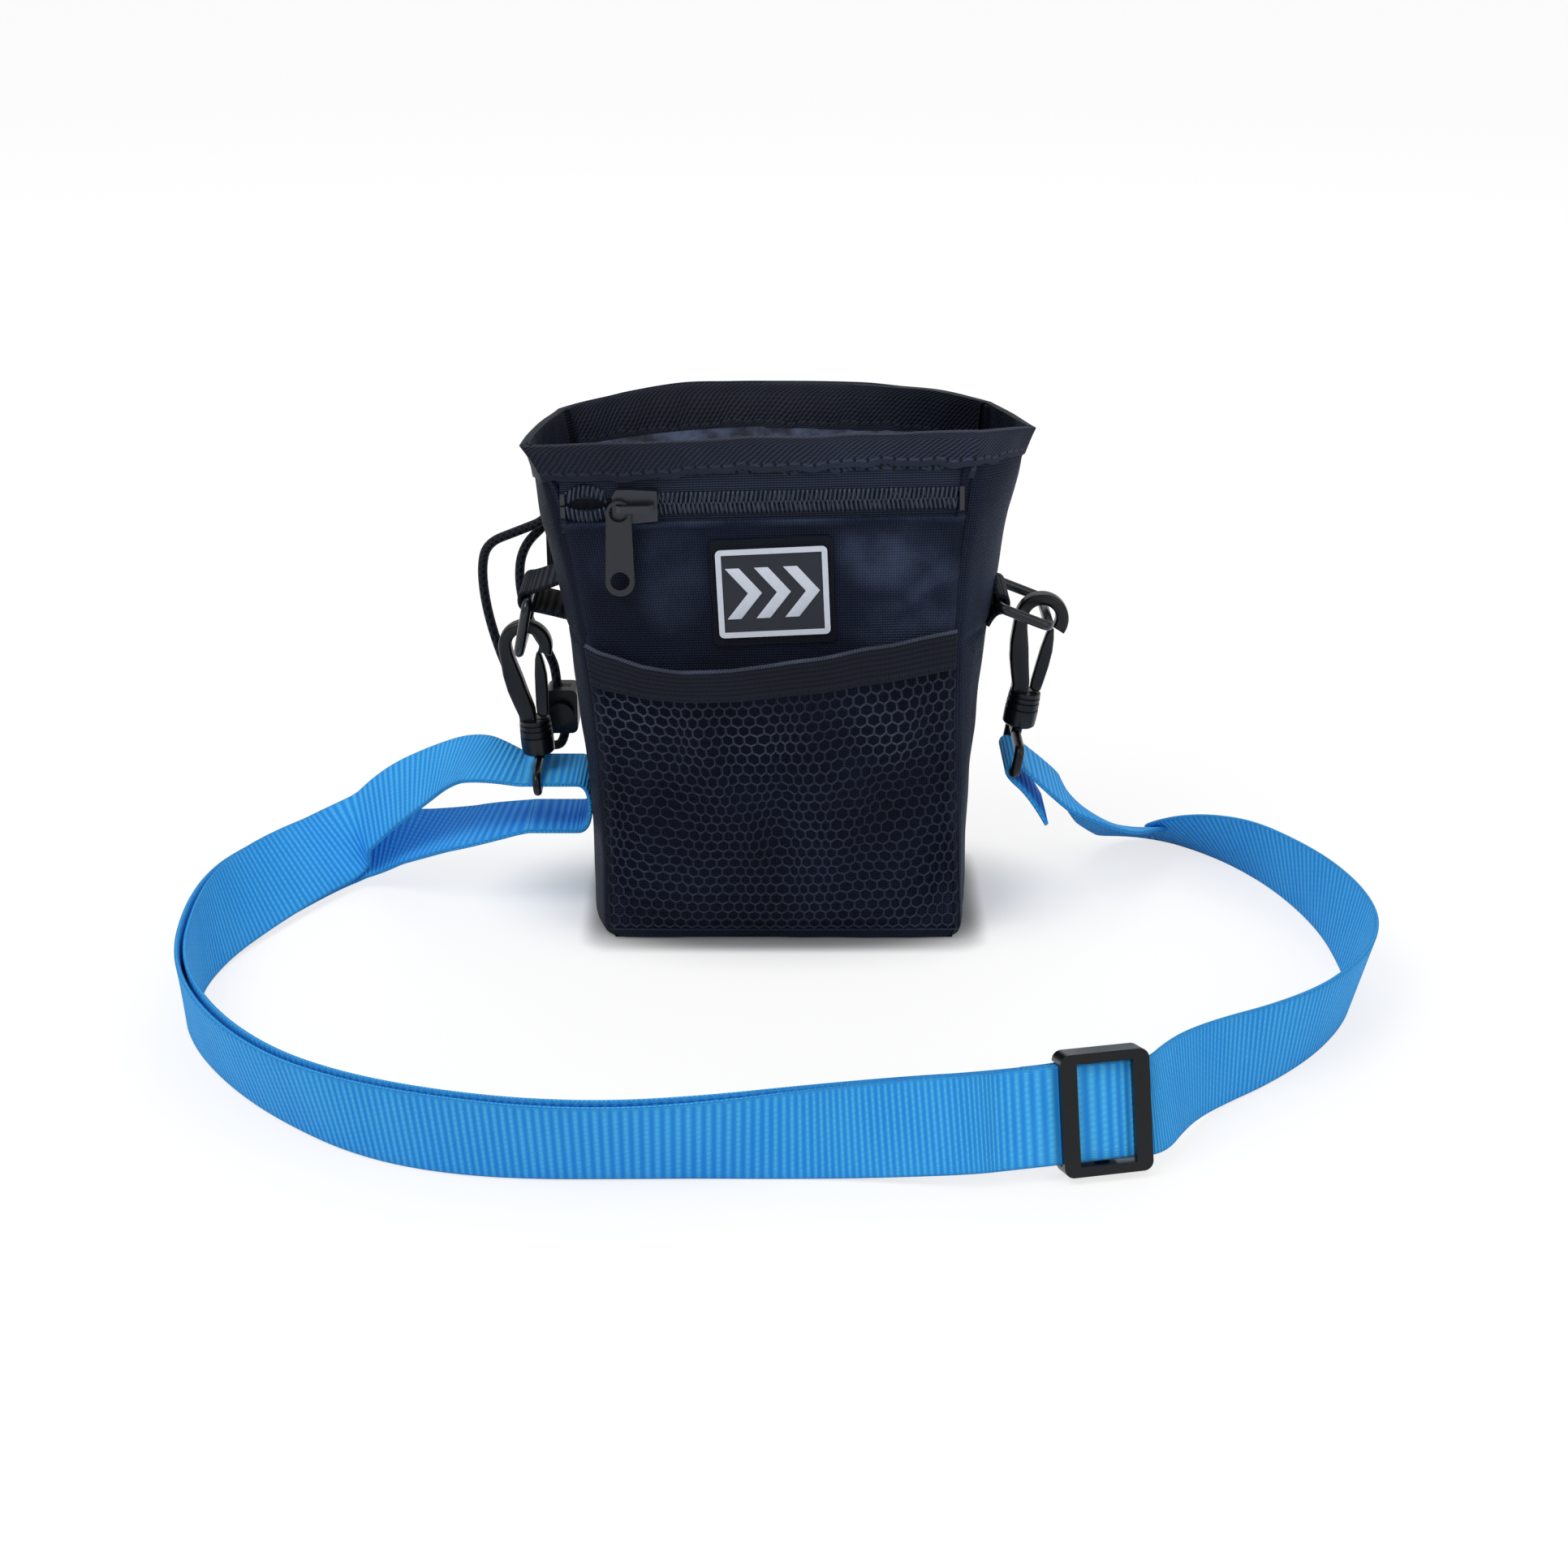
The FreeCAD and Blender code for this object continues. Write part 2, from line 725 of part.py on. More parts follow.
def make_stops():
    """Two clips on the left ends of the rows, and a box across both rows at the right."""
    body = zip_body("zip_top_stops")
    sketch = sketch_on(body, "XZ_Plane", "clips", "wall * -1")
    far = "zip_left + stop_length"
    for side in ("1", "-1"):
        low = "coil_inner * " + side
        high = "( coil_outer + coil_inner ) * " + side
        outline(sketch, [("zip_left", low), (far, low), (far, high), ("zip_left", high)])
    pad(body, sketch, "coil_wire")
    piece("zip_top_stops", body)
    body = zip_body("zip_bottom_stop")
    sketch = sketch_on(body, "XZ_Plane", "box", "wall * -1")
    near = "zip_right - stop_length"
    high = "coil_outer + coil_inner"
    low = "( coil_outer + coil_inner ) * -1"
    outline(sketch, [(near, low), ("zip_right", low), ("zip_right", high), (near, high)])
    pad(body, sketch, "coil_wire")
    piece("zip_bottom_stop", body)


def make_slider():
    """Slider body: two plates joined by a wedge, side flanges and a bail for the pull."""
    body = new_body("zip_slider_body")
    place = Placement(Vector(size("slider_centre"), 0, 0), Rotation())
    body.Placement = zip_frame().multiply(place)
    end = "slider_length * 0.5"
    start = "slider_length * -0.5"
    wide = "slider_front_width * 0.5"
    slim = "slider_back_width * 0.5"
    waist = "slider_length * -0.1"
    plate = [(start, wide + " * 0.62"), (start + " * 0.8", wide), (waist, wide), (end, slim)]
    plate += [(a, b + " * -1") for a, b in reversed(plate)]
    upper = sketch_on(body, "XZ_Plane", "upper_plate", "slider_top")
    outline(upper, plate)
    pad(body, upper, "slider_plate", back=True)
    lower = sketch_on(body, "XZ_Plane", "lower_plate", "( slider_lower_plate + slider_lower_thickness ) * -1")
    outline(lower, plate)
    pad(body, lower, "slider_lower_thickness")
    wedge = sketch_on(body, "XZ_Plane", "wedge", "slider_lower_plate * -1")
    tip = start + " * 0.82"
    outline(wedge, [(tip, "0"), (start + " * 0.55", "0.9"), (waist, "0"), (start + " * 0.55", "-0.9")])
    pad(body, wedge, "slider_lower_plate + slider_top - slider_plate")
    rails = sketch_on(body, "XZ_Plane", "flanges", "slider_top - slider_plate")
    for side in (" * 1", " * -1"):
        near = [(start + " * 0.8", wide + side), (waist, wide + side), (end, slim + side)]
        rail = "slider_flange"
        far = [(a, "( " + b.replace(side, "") + " - " + rail + " )" + side) for a, b in reversed(near)]
        outline(rails, near + far)
    pad(body, rails, "slider_top - slider_plate + slider_flange_reach", back=True)
    bail = sketch_on(body, "XY_Plane", "bail", "bail_width * -0.5 + bail_lift")
    top = "( slider_top + bail_rise ) * -1"
    foot = "slider_top * -1"
    under = top + " + bail_bar"
    slope = "bail_bar"
    outer = [("bail_left - bail_leg * 0.5", foot), ("bail_left - bail_leg * 0.5", under)]
    outer += [("bail_left - bail_leg * 0.5 + " + slope, top)]
    outer += [("bail_right + bail_leg * 0.5 - " + slope, top)]
    outer += [("bail_right + bail_leg * 0.5", under), ("bail_right + bail_leg * 0.5", foot)]
    outer += [("bail_right - bail_leg * 0.5", foot), ("bail_right - bail_leg * 0.5", under)]
    outer += [("bail_left + bail_leg * 0.5", under), ("bail_left + bail_leg * 0.5", foot)]
    outline(bail, outer)
    pad(body, bail, "bail_width")
    piece("zip_slider_body", body)


def bail_axis():
    """The middle of the bail's left leg, about which the pull swings, in the zip's frame."""
    return Vector(size("slider_centre") + size("bail_left"), 0, size("bail_lift"))


def make_pull():
    """Flat pull that hangs on the bail's left leg, with a round hole near its lower end."""
    body = new_body("pull_tab")
    spot_in_zip = bail_axis() + Vector(0, -size("slider_top") - size("pull_clearance"), 0)
    world = zip_frame().multVec(spot_in_zip)
    body.Placement = Placement(world, Rotation())
    bottom = "( pull_eye_drop + pull_spacing ) * -1"
    plate = sketch_on(body, "XZ_Plane", "plate")
    outline(plate, [
        ("pull_top_radius * -1", "pull_eye_drop * -1"),
        ("pull_bottom_radius * -1", bottom),
        ("pull_bottom_radius", bottom),
        ("pull_top_radius", "pull_eye_drop * -1"),
    ])
    pad(body, plate, "pull_thickness")
    for name, height, radius in (
        ("top_round", "pull_eye_drop * -1", "pull_top_radius"),
        ("bottom_round", bottom, "pull_bottom_radius"),
    ):
        round_end = sketch_on(body, "XZ_Plane", name)
        ring_line(round_end, "0", height, radius)
        pad(body, round_end, "pull_thickness")
    eye = sketch_on(body, "XZ_Plane", "eye")
    ring_line(eye, "0", "pull_eye_drop * -1", "pull_eye_radius")
    cut(body, eye, "pull_thickness", back=True)
    hole = sketch_on(body, "XZ_Plane", "hole")
    ring_line(hole, "0", bottom + " * 0.985", "pull_hole * 0.5")
    cut(body, hole, "pull_thickness", back=True)
    piece("pull_tab", body)


def lining_block(inset):
    """The room of the zip pocket between the seams, smaller by an inset."""
    low = size("bag_height") - size("lining_drop") + inset
    high = size("bag_height") - size("lining_hem") - inset
    margin = size("lining_margin") + inset
    near = size("wall")
    far = size("wall") + size("lining_depth") - inset
    wires = []
    for z in (low, (low + high) / 2, high):
        share = height_share(z)
        left = plan(share)["front_left"]
        right = plan(share)["front_right"][0] - margin
        corners = [lifted(share, left[0] + margin, left[1] + near), lifted(share, right, left[1] + near)]
        corners += [lifted(share, right, left[1] + far), lifted(share, left[0] + margin, left[1] + far)]
        wires.append(Part.makePolygon(corners + corners[:1]))
    return Part.makeLoft(wires, True, True)


def make_lining():
    """Flat bag of the zip pocket, sewn to the back of the front panel."""
    bag = lining_block(0.0).cut(lining_block(size("lining_wall")))
    for label in ("zip_tape_upper", "zip_tape_lower"):
        bag = bag.cut(NODES[label].Shape)
    feature("zip_pocket_lining", bag)


# Mesh pocket, elastic band and patch on the front


def bowed_strip(z, bow, thick):
    """Outline of a sheet that leaves the front panel in a bow between two sewn flanges."""
    share = height_share(z)
    left = plan(share)["front_left"]
    right = plan(share)["front_right"]
    start = left[0] + size("mesh_margin")
    end = right[0] - size("mesh_margin")
    flange = size("mesh_flange")
    middle = (start + end) / 2

    def at(x, depth):
        return Vector(x, left[1] - depth, z + x * tilt_at(share))

    inner = [at(start, 0), at(start + flange, 0), at(middle, bow)]
    inner += [at(end - flange, 0), at(end, 0)]
    outer = [at(start, thick), at(start + flange, thick), at(middle, bow + thick)]
    outer += [at(end - flange, thick), at(end, thick)]
    return Part.Wire([
        Part.makeLine(inner[0], inner[1]),
        arc(inner[1], inner[2], inner[3]),
        Part.makeLine(inner[3], inner[4]),
        Part.makeLine(inner[4], outer[4]),
        Part.makeLine(outer[4], outer[3]),
        arc(outer[3], outer[2], outer[1]),
        Part.makeLine(outer[1], outer[0]),
        Part.makeLine(outer[0], inner[0]),
    ])


def make_mesh_pocket():
    """Mesh sheet that stands off the front, gathered at its lower edge, and its elastic band."""
    thick = size("mesh_thickness")
    bow = size("mesh_bow")
    low = size("mesh_bottom")
    top = size("bag_height") - size("band_drop")
    band = top - size("band_height")
    wall_height = size("bag_height") - size("base_thickness")
    bend = size("base_thickness") + wall_height * size("front_upright_share")
    heights = [(low, bow * 0.04), (low + bow * 0.8, bow * 0.62), (low + bow * 2.4, bow)]
    heights += [(bend, bow), (band, bow)]
    mesh = Part.makeLoft([bowed_strip(z, b, thick) for z, b in heights], True, True)
    feature("mesh_pocket", mesh)
    strips = [bowed_strip(z, bow, size("band_thickness")) for z in (band, top)]
    elastic = Part.makeLoft(strips, True, True)
    feature("elastic_band", elastic)


def make_patch():
    """Plain patch with a raised rim on a sewn backing."""
    turn = Rotation(Y_AXIS, -size("patch_turn"))
    middle = Vector(size("patch_x"), size("front_y"), size("bag_height") - size("patch_drop"))
    place = Placement(middle, turn)
    half = ("patch_width * 0.5", "patch_height * 0.5")
    body = new_body("badge_backing")
    body.Placement = place
    sketch = sketch_on(body, "XZ_Plane", "backing")
    outline(sketch, frame_corners(*half))
    pad(body, sketch, "patch_backing")
    round_edges(body, "plate_corner", lambda edge: along(edge, Y_AXIS))
    piece("badge_backing", body)
    body = new_body("badge_face")
    body.Placement = place
    sketch = sketch_on(body, "XZ_Plane", "plate", "patch_backing")
    half = ("plate_width * 0.5", "plate_height * 0.5")
    outline(sketch, frame_corners(*half))
    pad(body, sketch, "plate_thickness")
    round_edges(body, "plate_corner", lambda edge: along(edge, Y_AXIS))
    sketch = sketch_on(body, "XZ_Plane", "field", "patch_backing + plate_thickness")
    half = ("plate_width * 0.5 - plate_rim", "plate_height * 0.5 - plate_rim")
    outline(sketch, frame_corners(*half))
    cut(body, sketch, "plate_recess")
    piece("badge_face", body)


def frame_corners(across, along_up):
    """Corners of a rectangle about its middle."""
    low_x = "( " + across + " ) * -1"
    low_z = "( " + along_up + " ) * -1"
    return [(low_x, low_z), (across, low_z), (across, along_up), (low_x, along_up)]


# Round-bar frames: the rectangular rings and the loops of the swivel eyes


def bar_frame(name, width, drop, wire, corner):
    """A closed frame of round bar: four bars and four quarter bends, drop below its upper bar."""
    parts = []
    for rank in range(4):
        level = rank % 2
        run = (width if level == 0 else drop) + " - " + corner + " * 2"
        bar = DOC.addObject("Part::Cylinder", name + "_bar")
        bind(bar, Radius=wire + " * 0.5", Height=run)
        bend = DOC.addObject("Part::Torus", name + "_bend")
        bind(bend, Radius1=corner, Radius2=wire + " * 0.5")
        bend.Angle3 = 90
        span = (size(width) / 2, size(drop), size(corner))
        bar.Placement, bend.Placement = frame_places(rank, *span)
        parts += [bar, bend]
    frame = DOC.addObject("Part::MultiFuse", name + "_frame")
    frame.Shapes = parts
    frame.Refine = True
    return frame


def frame_places(rank, half, drop, corner):
    """Where one bar and the bend after it lie, in the frame's own plane of Y and -Z."""
    ends = [
        (Vector(0, -half + corner, 0), Y_AXIS, Vector(0, half - corner, -corner)),
        (Vector(0, half, -corner), Z_AXIS * -1, Vector(0, half - corner, -drop + corner)),
        (Vector(0, half - corner, -drop), Y_AXIS * -1, Vector(0, -half + corner, -drop + corner)),
        (Vector(0, -half, -drop + corner), Z_AXIS, Vector(0, -half + corner, -corner)),
    ]
    start, way, centre = ends[rank]
    bar = Placement(start, Rotation(Z_AXIS, way))
    ways = [Z_AXIS, Y_AXIS, Z_AXIS * -1, Y_AXIS * -1, Z_AXIS]
    return bar, Placement(centre, Rotation(ways[rank], ways[rank + 1], X_AXIS * -1, "XYZ"))


def ring_pivot(side):
    """The middle of a ring's upper bar, out from the face of the side panel at its height."""
    height = size("ring_%s_z" % side)
    face = spot(height_share(height), side, 0.0).x
    return Vector(face + math.copysign(size("ring_%s_reach" % side), face), 0, height)


def ring_place(side):
    """Where a ring hangs: its upper bar in the tab, swung out by its own angle."""
    sign = 1 if side == "left" else -1
    return Placement(ring_pivot(side), Rotation(Y_AXIS, sign * size("ring_%s_swing" % side)))


def make_rings():
    """Left and right rectangular ring."""
    for side in ("left", "right"):
        frame = bar_frame("ring_" + side, "ring_width", "ring_drop", "ring_wire", "ring_corner")
        frame.Placement = ring_place(side)
        piece("ring_" + side, frame)


def slab(start, end, thickness, width):
    """A flat layer of webbing between two points of the XZ plane."""
    way = end.sub(start)
    side = Vector(way.z, 0, -way.x).normalize() * (thickness / 2)
    corners = [start + side, end + side, end - side, start - side, start + side]
    face = Part.Face(Part.makePolygon(corners))
    return face.translated(Vector(0, -width / 2, 0)).extrude(Vector(0, width, 0))


def make_tabs():
    """Webbing loops round the upper bars of the rings, sewn to the side panels."""
    width = size("tab_width")
    thick = size("tab_thickness")
    inner = size("ring_wire") / 2 + size("tab_clearance")
    for side, sign in (("left", -1), ("right", 1)):
        pivot = ring_pivot(side)
        start = Vector(pivot.x, -width / 2, pivot.z)
        sleeve = Part.makeCylinder(inner + thick, width, start, Y_AXIS)
        bore = Part.makeCylinder(inner, width, start, Y_AXIS)
        gusset = NODES[side + "_gusset"].Shape
        layers = []
        high = pivot.z + size("tab_%s_rise" % side)
        low = pivot.z - size("tab_%s_fall" % side)
        for root_z, turn in ((high, 1), (low, -1)):
            share = height_share(root_z)
            root = Vector(spot(share, side, size("wall") * 0.9).x, 0, root_z)
            mid = inner + thick / 2
            reach = pivot.sub(root)
            lean = math.asin(mid / reach.Length)
            way = math.atan2(reach.z, reach.x) + turn * lean * -sign
            length = reach.Length * math.cos(lean)
            end = root + Vector(math.cos(way), 0, math.sin(way)) * length
            layers.append(slab(root, end, thick, width))
        loop = sleeve.fuse(layers).cut(bore)
        feature("tab_" + side, largest(loop.cut(gusset)))


def largest(shape):
    """The largest solid of a shape that a panel has cut."""
    return max(shape.Solids, key=lambda solid: solid.Volume)


# Swivel hooks; each stands on its own axis with the barrel's lower end at z = 0


def hook_place(side):
    """The frame of a hook that hangs in its ring: its base is the lower end of the barrel."""
    hang = Vector(size("hook_%s_offset" % side), 0, -size("hook_%s_drop" % side))
    base = ring_pivot(side) + hang
    sign = -1 if side == "left" else 1
    return Placement(base, Rotation(Y_AXIS, sign * size("hook_%s_tilt" % side)))


def make_hook(side):
    """Moulded hook: grooved barrel, straight spine, open arch and the pin of its gate."""
    label = "hook_" + side
    body = new_body(label)
    body.Placement = hook_place(side)
    arch = sketch_on(body, "XZ_Plane", "arch")
    ring_line(arch, "0", "hook_arch_height", "hook_outer")
    pad(body, arch, "hook_thickness", both=True)
    spine = sketch_on(body, "XZ_Plane", "spine")
    outline(spine, [
        ("barrel_upper * -1", "barrel_height - 1"),
        ("barrel_upper", "barrel_height - 1"),
        ("barrel_upper", "gate_pin_z"),
        ("gate_pin_x", "gate_pin_z + gate_knuckle"),
        ("hook_inner * -0.2", "gate_pin_z + gate_knuckle"),
        ("hook_inner * -1", "gate_pin_z + gate_knuckle * 3"),
        ("hook_inner * -1", "hook_arch_height"),
        ("hook_outer * -1", "hook_arch_height"),
        ("hook_outer * -1", "hook_arch_height - hook_outer"),
    ])
    pad(body, spine, "hook_thickness", both=True)
    bow = sketch_on(body, "XZ_Plane", "bow")
    ring_line(bow, "0", "hook_arch_height", "hook_inner")
    cut(body, bow, "hook_thickness * 2", both=True)
    mouth = sketch_on(body, "XZ_Plane", "mouth")
    outline(mouth, [
        ("hook_inner * -1", "hook_arch_height"),
        ("hook_inner * -1", "hook_arch_height - hook_outer * 2"),
        ("hook_outer * 2", "hook_arch_height - hook_outer * 2"),
        ("hook_outer * 2", "hook_arch_height - hook_outer * 0.75"),
        ("hook_inner * 0.75", "hook_arch_height - hook_inner * 0.35"),
        ("0", "hook_arch_height"),
    ])
    cut(body, mouth, "hook_thickness * 2", both=True)
    round_edges(body, "hook_edge", lambda edge: arch_edge(edge))
    slot = sketch_on(body, "XZ_Plane", "gate_slot")
    left = "gate_pin_x - gate_knuckle - gate_clearance"
    low = "gate_pin_z - gate_knuckle - gate_clearance"
    outline(slot, [(left, low), ("hook_outer", low), ("hook_outer", "hook_arch_height * 0.6"),
                   (left, "hook_arch_height * 0.6")])
    cut(body, slot, "gate_thickness + gate_clearance * 2", both=True)
    barrel = sketch_on(body, "XZ_Plane", "barrel")
    groove = "barrel_lower - barrel_groove * 1.4"
    steps = [
        ("0", "0"), ("barrel_lower - 0.6", "0"), ("barrel_lower", "0.6"),
        ("barrel_lower", "barrel_height * 0.3"), (groove, "barrel_height * 0.3"),
        (groove, "barrel_height * 0.38"), ("barrel_lower - 0.2", "barrel_height * 0.38"),
        ("barrel_lower - 0.3", "barrel_height * 0.68"), (groove, "barrel_height * 0.68"),
        (groove, "barrel_height * 0.76"), ("barrel_upper + 0.1", "barrel_height * 0.76"),
        ("barrel_upper", "barrel_height"), ("0", "barrel_height"),
    ]
    outline(barrel, steps)
    turn = body.newObject("PartDesign::Revolution", "turned_barrel")
    turn.Profile = barrel
    turn.ReferenceAxis = (barrel, ["V_Axis"])
    turn.Angle = 360
    DOC.recompute()
    socket = sketch_on(body, "XZ_Plane", "socket")
    neck = "post * 0.5 + post_clearance"
    head = "post_head * 0.5 + post_clearance"
    floor = "barrel_floor - post_clearance"
    roof = "barrel_floor + post_head_height + post_clearance"
    outline(socket, [("0", "-1"), (neck, "-1"), (neck, floor), (head, floor), (head, roof), ("0", roof)])
    before = body.Shape.Volume
    bore = body.newObject("PartDesign::Groove", "socket_bore")
    bore.Profile = socket
    bore.ReferenceAxis = (socket, ["V_Axis"])
    bore.Angle = 360
    DOC.recompute()
    if body.Shape.Volume > before - TINY:
        raise RuntimeError("the socket of %s cuts nothing" % label)
    pin = sketch_on(body, "XZ_Plane", "pin")
    ring_line(pin, "gate_pin_x", "gate_pin_z", "gate_pin * 0.5")
    pad(body, pin, "hook_thickness", both=True)
    piece(label, body)


def arch_edge(edge):
    """True for the long rounded edges of the arch and the spine, on both faces."""
    flat = size("hook_thickness") / 2
    high = size("gate_pin_z") + size("gate_knuckle") * 2
    box = edge.BoundBox
    on_face = abs(abs(box.YMin) - flat) < TINY and abs(box.YMax - box.YMin) < TINY
    return on_face and (box.ZMin > high or box.ZMax > size("hook_arch_height") - 1)


def make_gate(side):
    """Sprung gate: a knuckle on the pin and a straight lever that closes the arch."""
    label = "gate_" + side
    body = new_body(label)
    pin = Placement(Vector(size("gate_pin_x"), 0, size("gate_pin_z")), Rotation())
    lean = Placement(Vector(), Rotation(Y_AXIS, size("gate_lean")))
    body.Placement = hook_place(side).multiply(pin).multiply(lean)
    lever = sketch_on(body, "XZ_Plane", "lever")
    outline(lever, [
        ("gate_knuckle * -0.7", "0"),
        ("gate_knuckle", "0"),
        ("gate_width * 0.62", "gate_length * 0.8"),
        ("gate_width * 0.3", "gate_length"),
        ("gate_width * -0.38", "gate_length"),
        ("gate_width * -0.38", "gate_length * 0.3"),
    ])
    pad(body, lever, "gate_thickness", both=True)
    knuckle = sketch_on(body, "XZ_Plane", "knuckle")
    ring_line(knuckle, "0", "0", "gate_knuckle")
    pad(body, knuckle, "gate_thickness", both=True)
    bore = sketch_on(body, "XZ_Plane", "bore")
    ring_line(bore, "0", "0", "gate_pin * 0.5 + pin_clearance")
    cut(body, bore, "gate_thickness * 2", both=True)
    piece(label, body)


def make_eye(side):
    """Swivel eye: a loop for the webbing on a post whose head is held in the barrel."""
    label = "eye_" + side
    frame = bar_frame(label, "eye_width", "eye_drop", "eye_wire", "eye_corner")
    frame.Placement = Placement(Vector(0, 0, -size("eye_gap") - size("eye_wire") / 2), Rotation())
    neck = DOC.addObject("Part::Cylinder", label + "_post")
    bind(neck, Radius="post * 0.5", Height="eye_gap + eye_wire * 0.5 + barrel_floor + post_head_height")
    neck.Placement = Placement(Vector(0, 0, -size("eye_gap") - size("eye_wire") / 2), Rotation())
    head = DOC.addObject("Part::Cylinder", label + "_head")
    bind(head, Radius="post_head * 0.5", Height="post_head_height")
    head.Placement = Placement(Vector(0, 0, size("barrel_floor")), Rotation())
    eye = DOC.addObject("Part::MultiFuse", label + "_all")
    eye.Shapes = [frame, neck, head]
    eye.Refine = True
    eye.Placement = hook_place(side)
    piece(label, eye)


# Webbing strap: a band with straight runs and tangent arcs between the rows of its route


def corner_radius(before, at, after, radius=None):
    """The arc at one point of a route: its radius and the half turn."""
    first = at.sub(before)
    second = after.sub(at)
    turn = first.getAngle(second)
    if radius is None:
        radius = 0.45 * min(first.Length, second.Length) / math.tan(turn / 2)
    return radius, turn


def route_stations(points, radii=None, steps=3):
    """Places and directions along a route: (point, tangent, share of the route's rows)."""
    stations = [(points[0], points[1].sub(points[0]).normalize(), 0.0)]
    for i in range(1, len(points) - 1):
        radius, turn = corner_radius(points[i - 1], points[i], points[i + 1], radii[i] if radii else None)
        first = points[i].sub(points[i - 1]).normalize()
        second = points[i + 1].sub(points[i]).normalize()
        reach = radius * math.tan(turn / 2)
        centre_way = second.sub(first).normalize()
        centre = points[i] + centre_way * (radius / math.cos(turn / 2))
        start = points[i] - first * reach
        axis = first.cross(second).normalize()
        before = reach / points[i].sub(points[i - 1]).Length
        after = reach / points[i + 1].sub(points[i]).Length
        for step in range(steps + 1):
            share = step / steps
            swing = Rotation(axis, math.degrees(turn) * share)
            place = centre + swing.multVec(start - centre)
            stations.append((place, swing.multVec(first), i - before + (before + after) * share))
    end = len(points) - 1
    stations.append((points[end], points[end].sub(points[end - 1]).normalize(), float(end)))
    apart = stations[:1]
    for station in stations[1:]:
        if station[0].sub(apart[-1][0]).Length > 0.02:
            apart.append(station)
    return apart


def band_frame(tangent, lean):
    """The width and the outward face direction of a band with a lean, from its direction."""
    level = Vector(-tangent.y, tangent.x, 0).normalize()
    upright = tangent.cross(level)
    turn = math.radians(lean)
    across = upright * math.cos(turn) + level * math.sin(turn)
    outward = level * math.cos(turn) - upright * math.sin(turn)
    return across, outward


def band_section(place, across, outward):
    """The rectangle of the webbing at one place."""
    wide = across * (size("strap_width") / 2)
    thick = outward * (size("strap_thickness") / 2)
    corners = [place + wide + thick, place + wide - thick, place - wide - thick, place - wide + thick]
    return Part.makePolygon(corners + corners[:1])


def band(label, rows, first=None, last=None):
    """The solid of a stretch of strap; first and last set the direction at its ends."""
    points = [Vector(*row[:3]) for row in rows]
    stations = route_stations(points)
    wires = []
    for rank, (place, tangent, share) in enumerate(stations):
        if rank == 0 and first is not None:
            tangent = first
        if rank == len(stations) - 1 and last is not None:
            tangent = last
        low = min(int(share), len(rows) - 2)
        lean = rows[low][3] + (rows[low + 1][3] - rows[low][3]) * (share - low)
        across, outward = band_frame(tangent, lean)
        wires.append(band_section(place, across, outward))
    print_radii(label, points)
    return feature(label, Part.makeLoft(wires, True, True))


def print_radii(label, points):
    """List the arcs of a route."""
    radii = []
    for i in range(1, len(points) - 1):
        radii.append("%.0f" % corner_radius(points[i - 1], points[i], points[i + 1])[0])
    print(label, "radii", " ".join(radii))


def inner_rows(rows):
    """The rows of the layer that lies inside another one."""
    points = [Vector(*row[:3]) for row in rows]
    inside = []
    for i, row in enumerate(rows):
        before = points[max(i - 1, 0)]
        after = points[min(i + 1, len(points) - 1)]
        outward = band_frame(after.sub(before).normalize(), row[3])[1]
        place = points[i] - outward * size("strap_layer")
        inside.append((place.x, place.y, place.z, row[3]))
    return inside


def flat_band(points, radii):
    """A stretch of strap that lies square to the XZ plane, from (x, z) points."""
    path = [Vector(x, 0, z) for x, z in points]
    wires = []
    for place, tangent, _ in route_stations(path, radii, 6):
        outward = Vector(tangent.z, 0, -tangent.x)
        wires.append(band_section(place, Y_AXIS, outward))
    return Part.makeLoft(wires, True, True)


def glide_place():
    """The frame of the strap slider: x along the strap, y behind it, z up its lean."""
    base = Vector(size("glide_x"), size("glide_y"), size("glide_z"))
    turn = Rotation(Z_AXIS, size("glide_heading")).multiply(Rotation(X_AXIS, -size("glide_lean")))
    return Placement(base, turn)


def make_strap():
    """The shoulder strap: one long layer, and the inner layer that comes back to the slider."""
    loop = STRAP_RIGHT + STRAP_DOUBLE
    right_way = Vector(1, 0, 0)
    start_way = eye_exit_way()
    band("strap_main", STRAP_RISE + loop + STRAP_LOW_END, first=start_way, last=right_way)
    inside = inner_rows(loop)[len(STRAP_RIGHT):]
    along_glide = glide_place().Rotation.multVec(X_AXIS * -1)
    band("strap_return", inside + STRAP_HIGH_END, first=along_glide, last=right_way)
    radius = STRAP_TURN_RADIUS
    turn = flat_band(STRAP_TURN, [None, radius, radius, None])
    feature("strap_turn_left", turn)
    start = Vector(*inside[0][:3])
    end = glide_place().multVec(Vector(-size("fold_tail"), size("strap_layer"), 0))
    across, outward = band_frame(along_glide, inside[0][3])
    wires = [band_section(place, across, outward) for place in (end, start)]
    feature("strap_return_end", Part.makeLoft(wires, True, True))


def eye_exit_way():
    """The direction in which the strap leaves the right eye."""
    first = Vector(*STRAP_RISE[0][:3])
    bar = eye_bar("right")
    radius = size("eye_wire") / 2 + size("strap_thickness") / 2 + size("fold_play")
    reach = Vector(first.x - bar.x, 0, first.z - bar.z)
    base = math.atan2(reach.z, reach.x)
    swing = math.asin(radius / reach.Length)
    return Vector(math.cos(base - swing), 0, math.sin(base - swing))


def eye_bar(side):
    """The middle of the lower bar of an eye."""
    drop = size("eye_gap") + size("eye_wire") / 2 + size("eye_drop")
    return hook_place(side).multVec(Vector(0, 0, -drop))


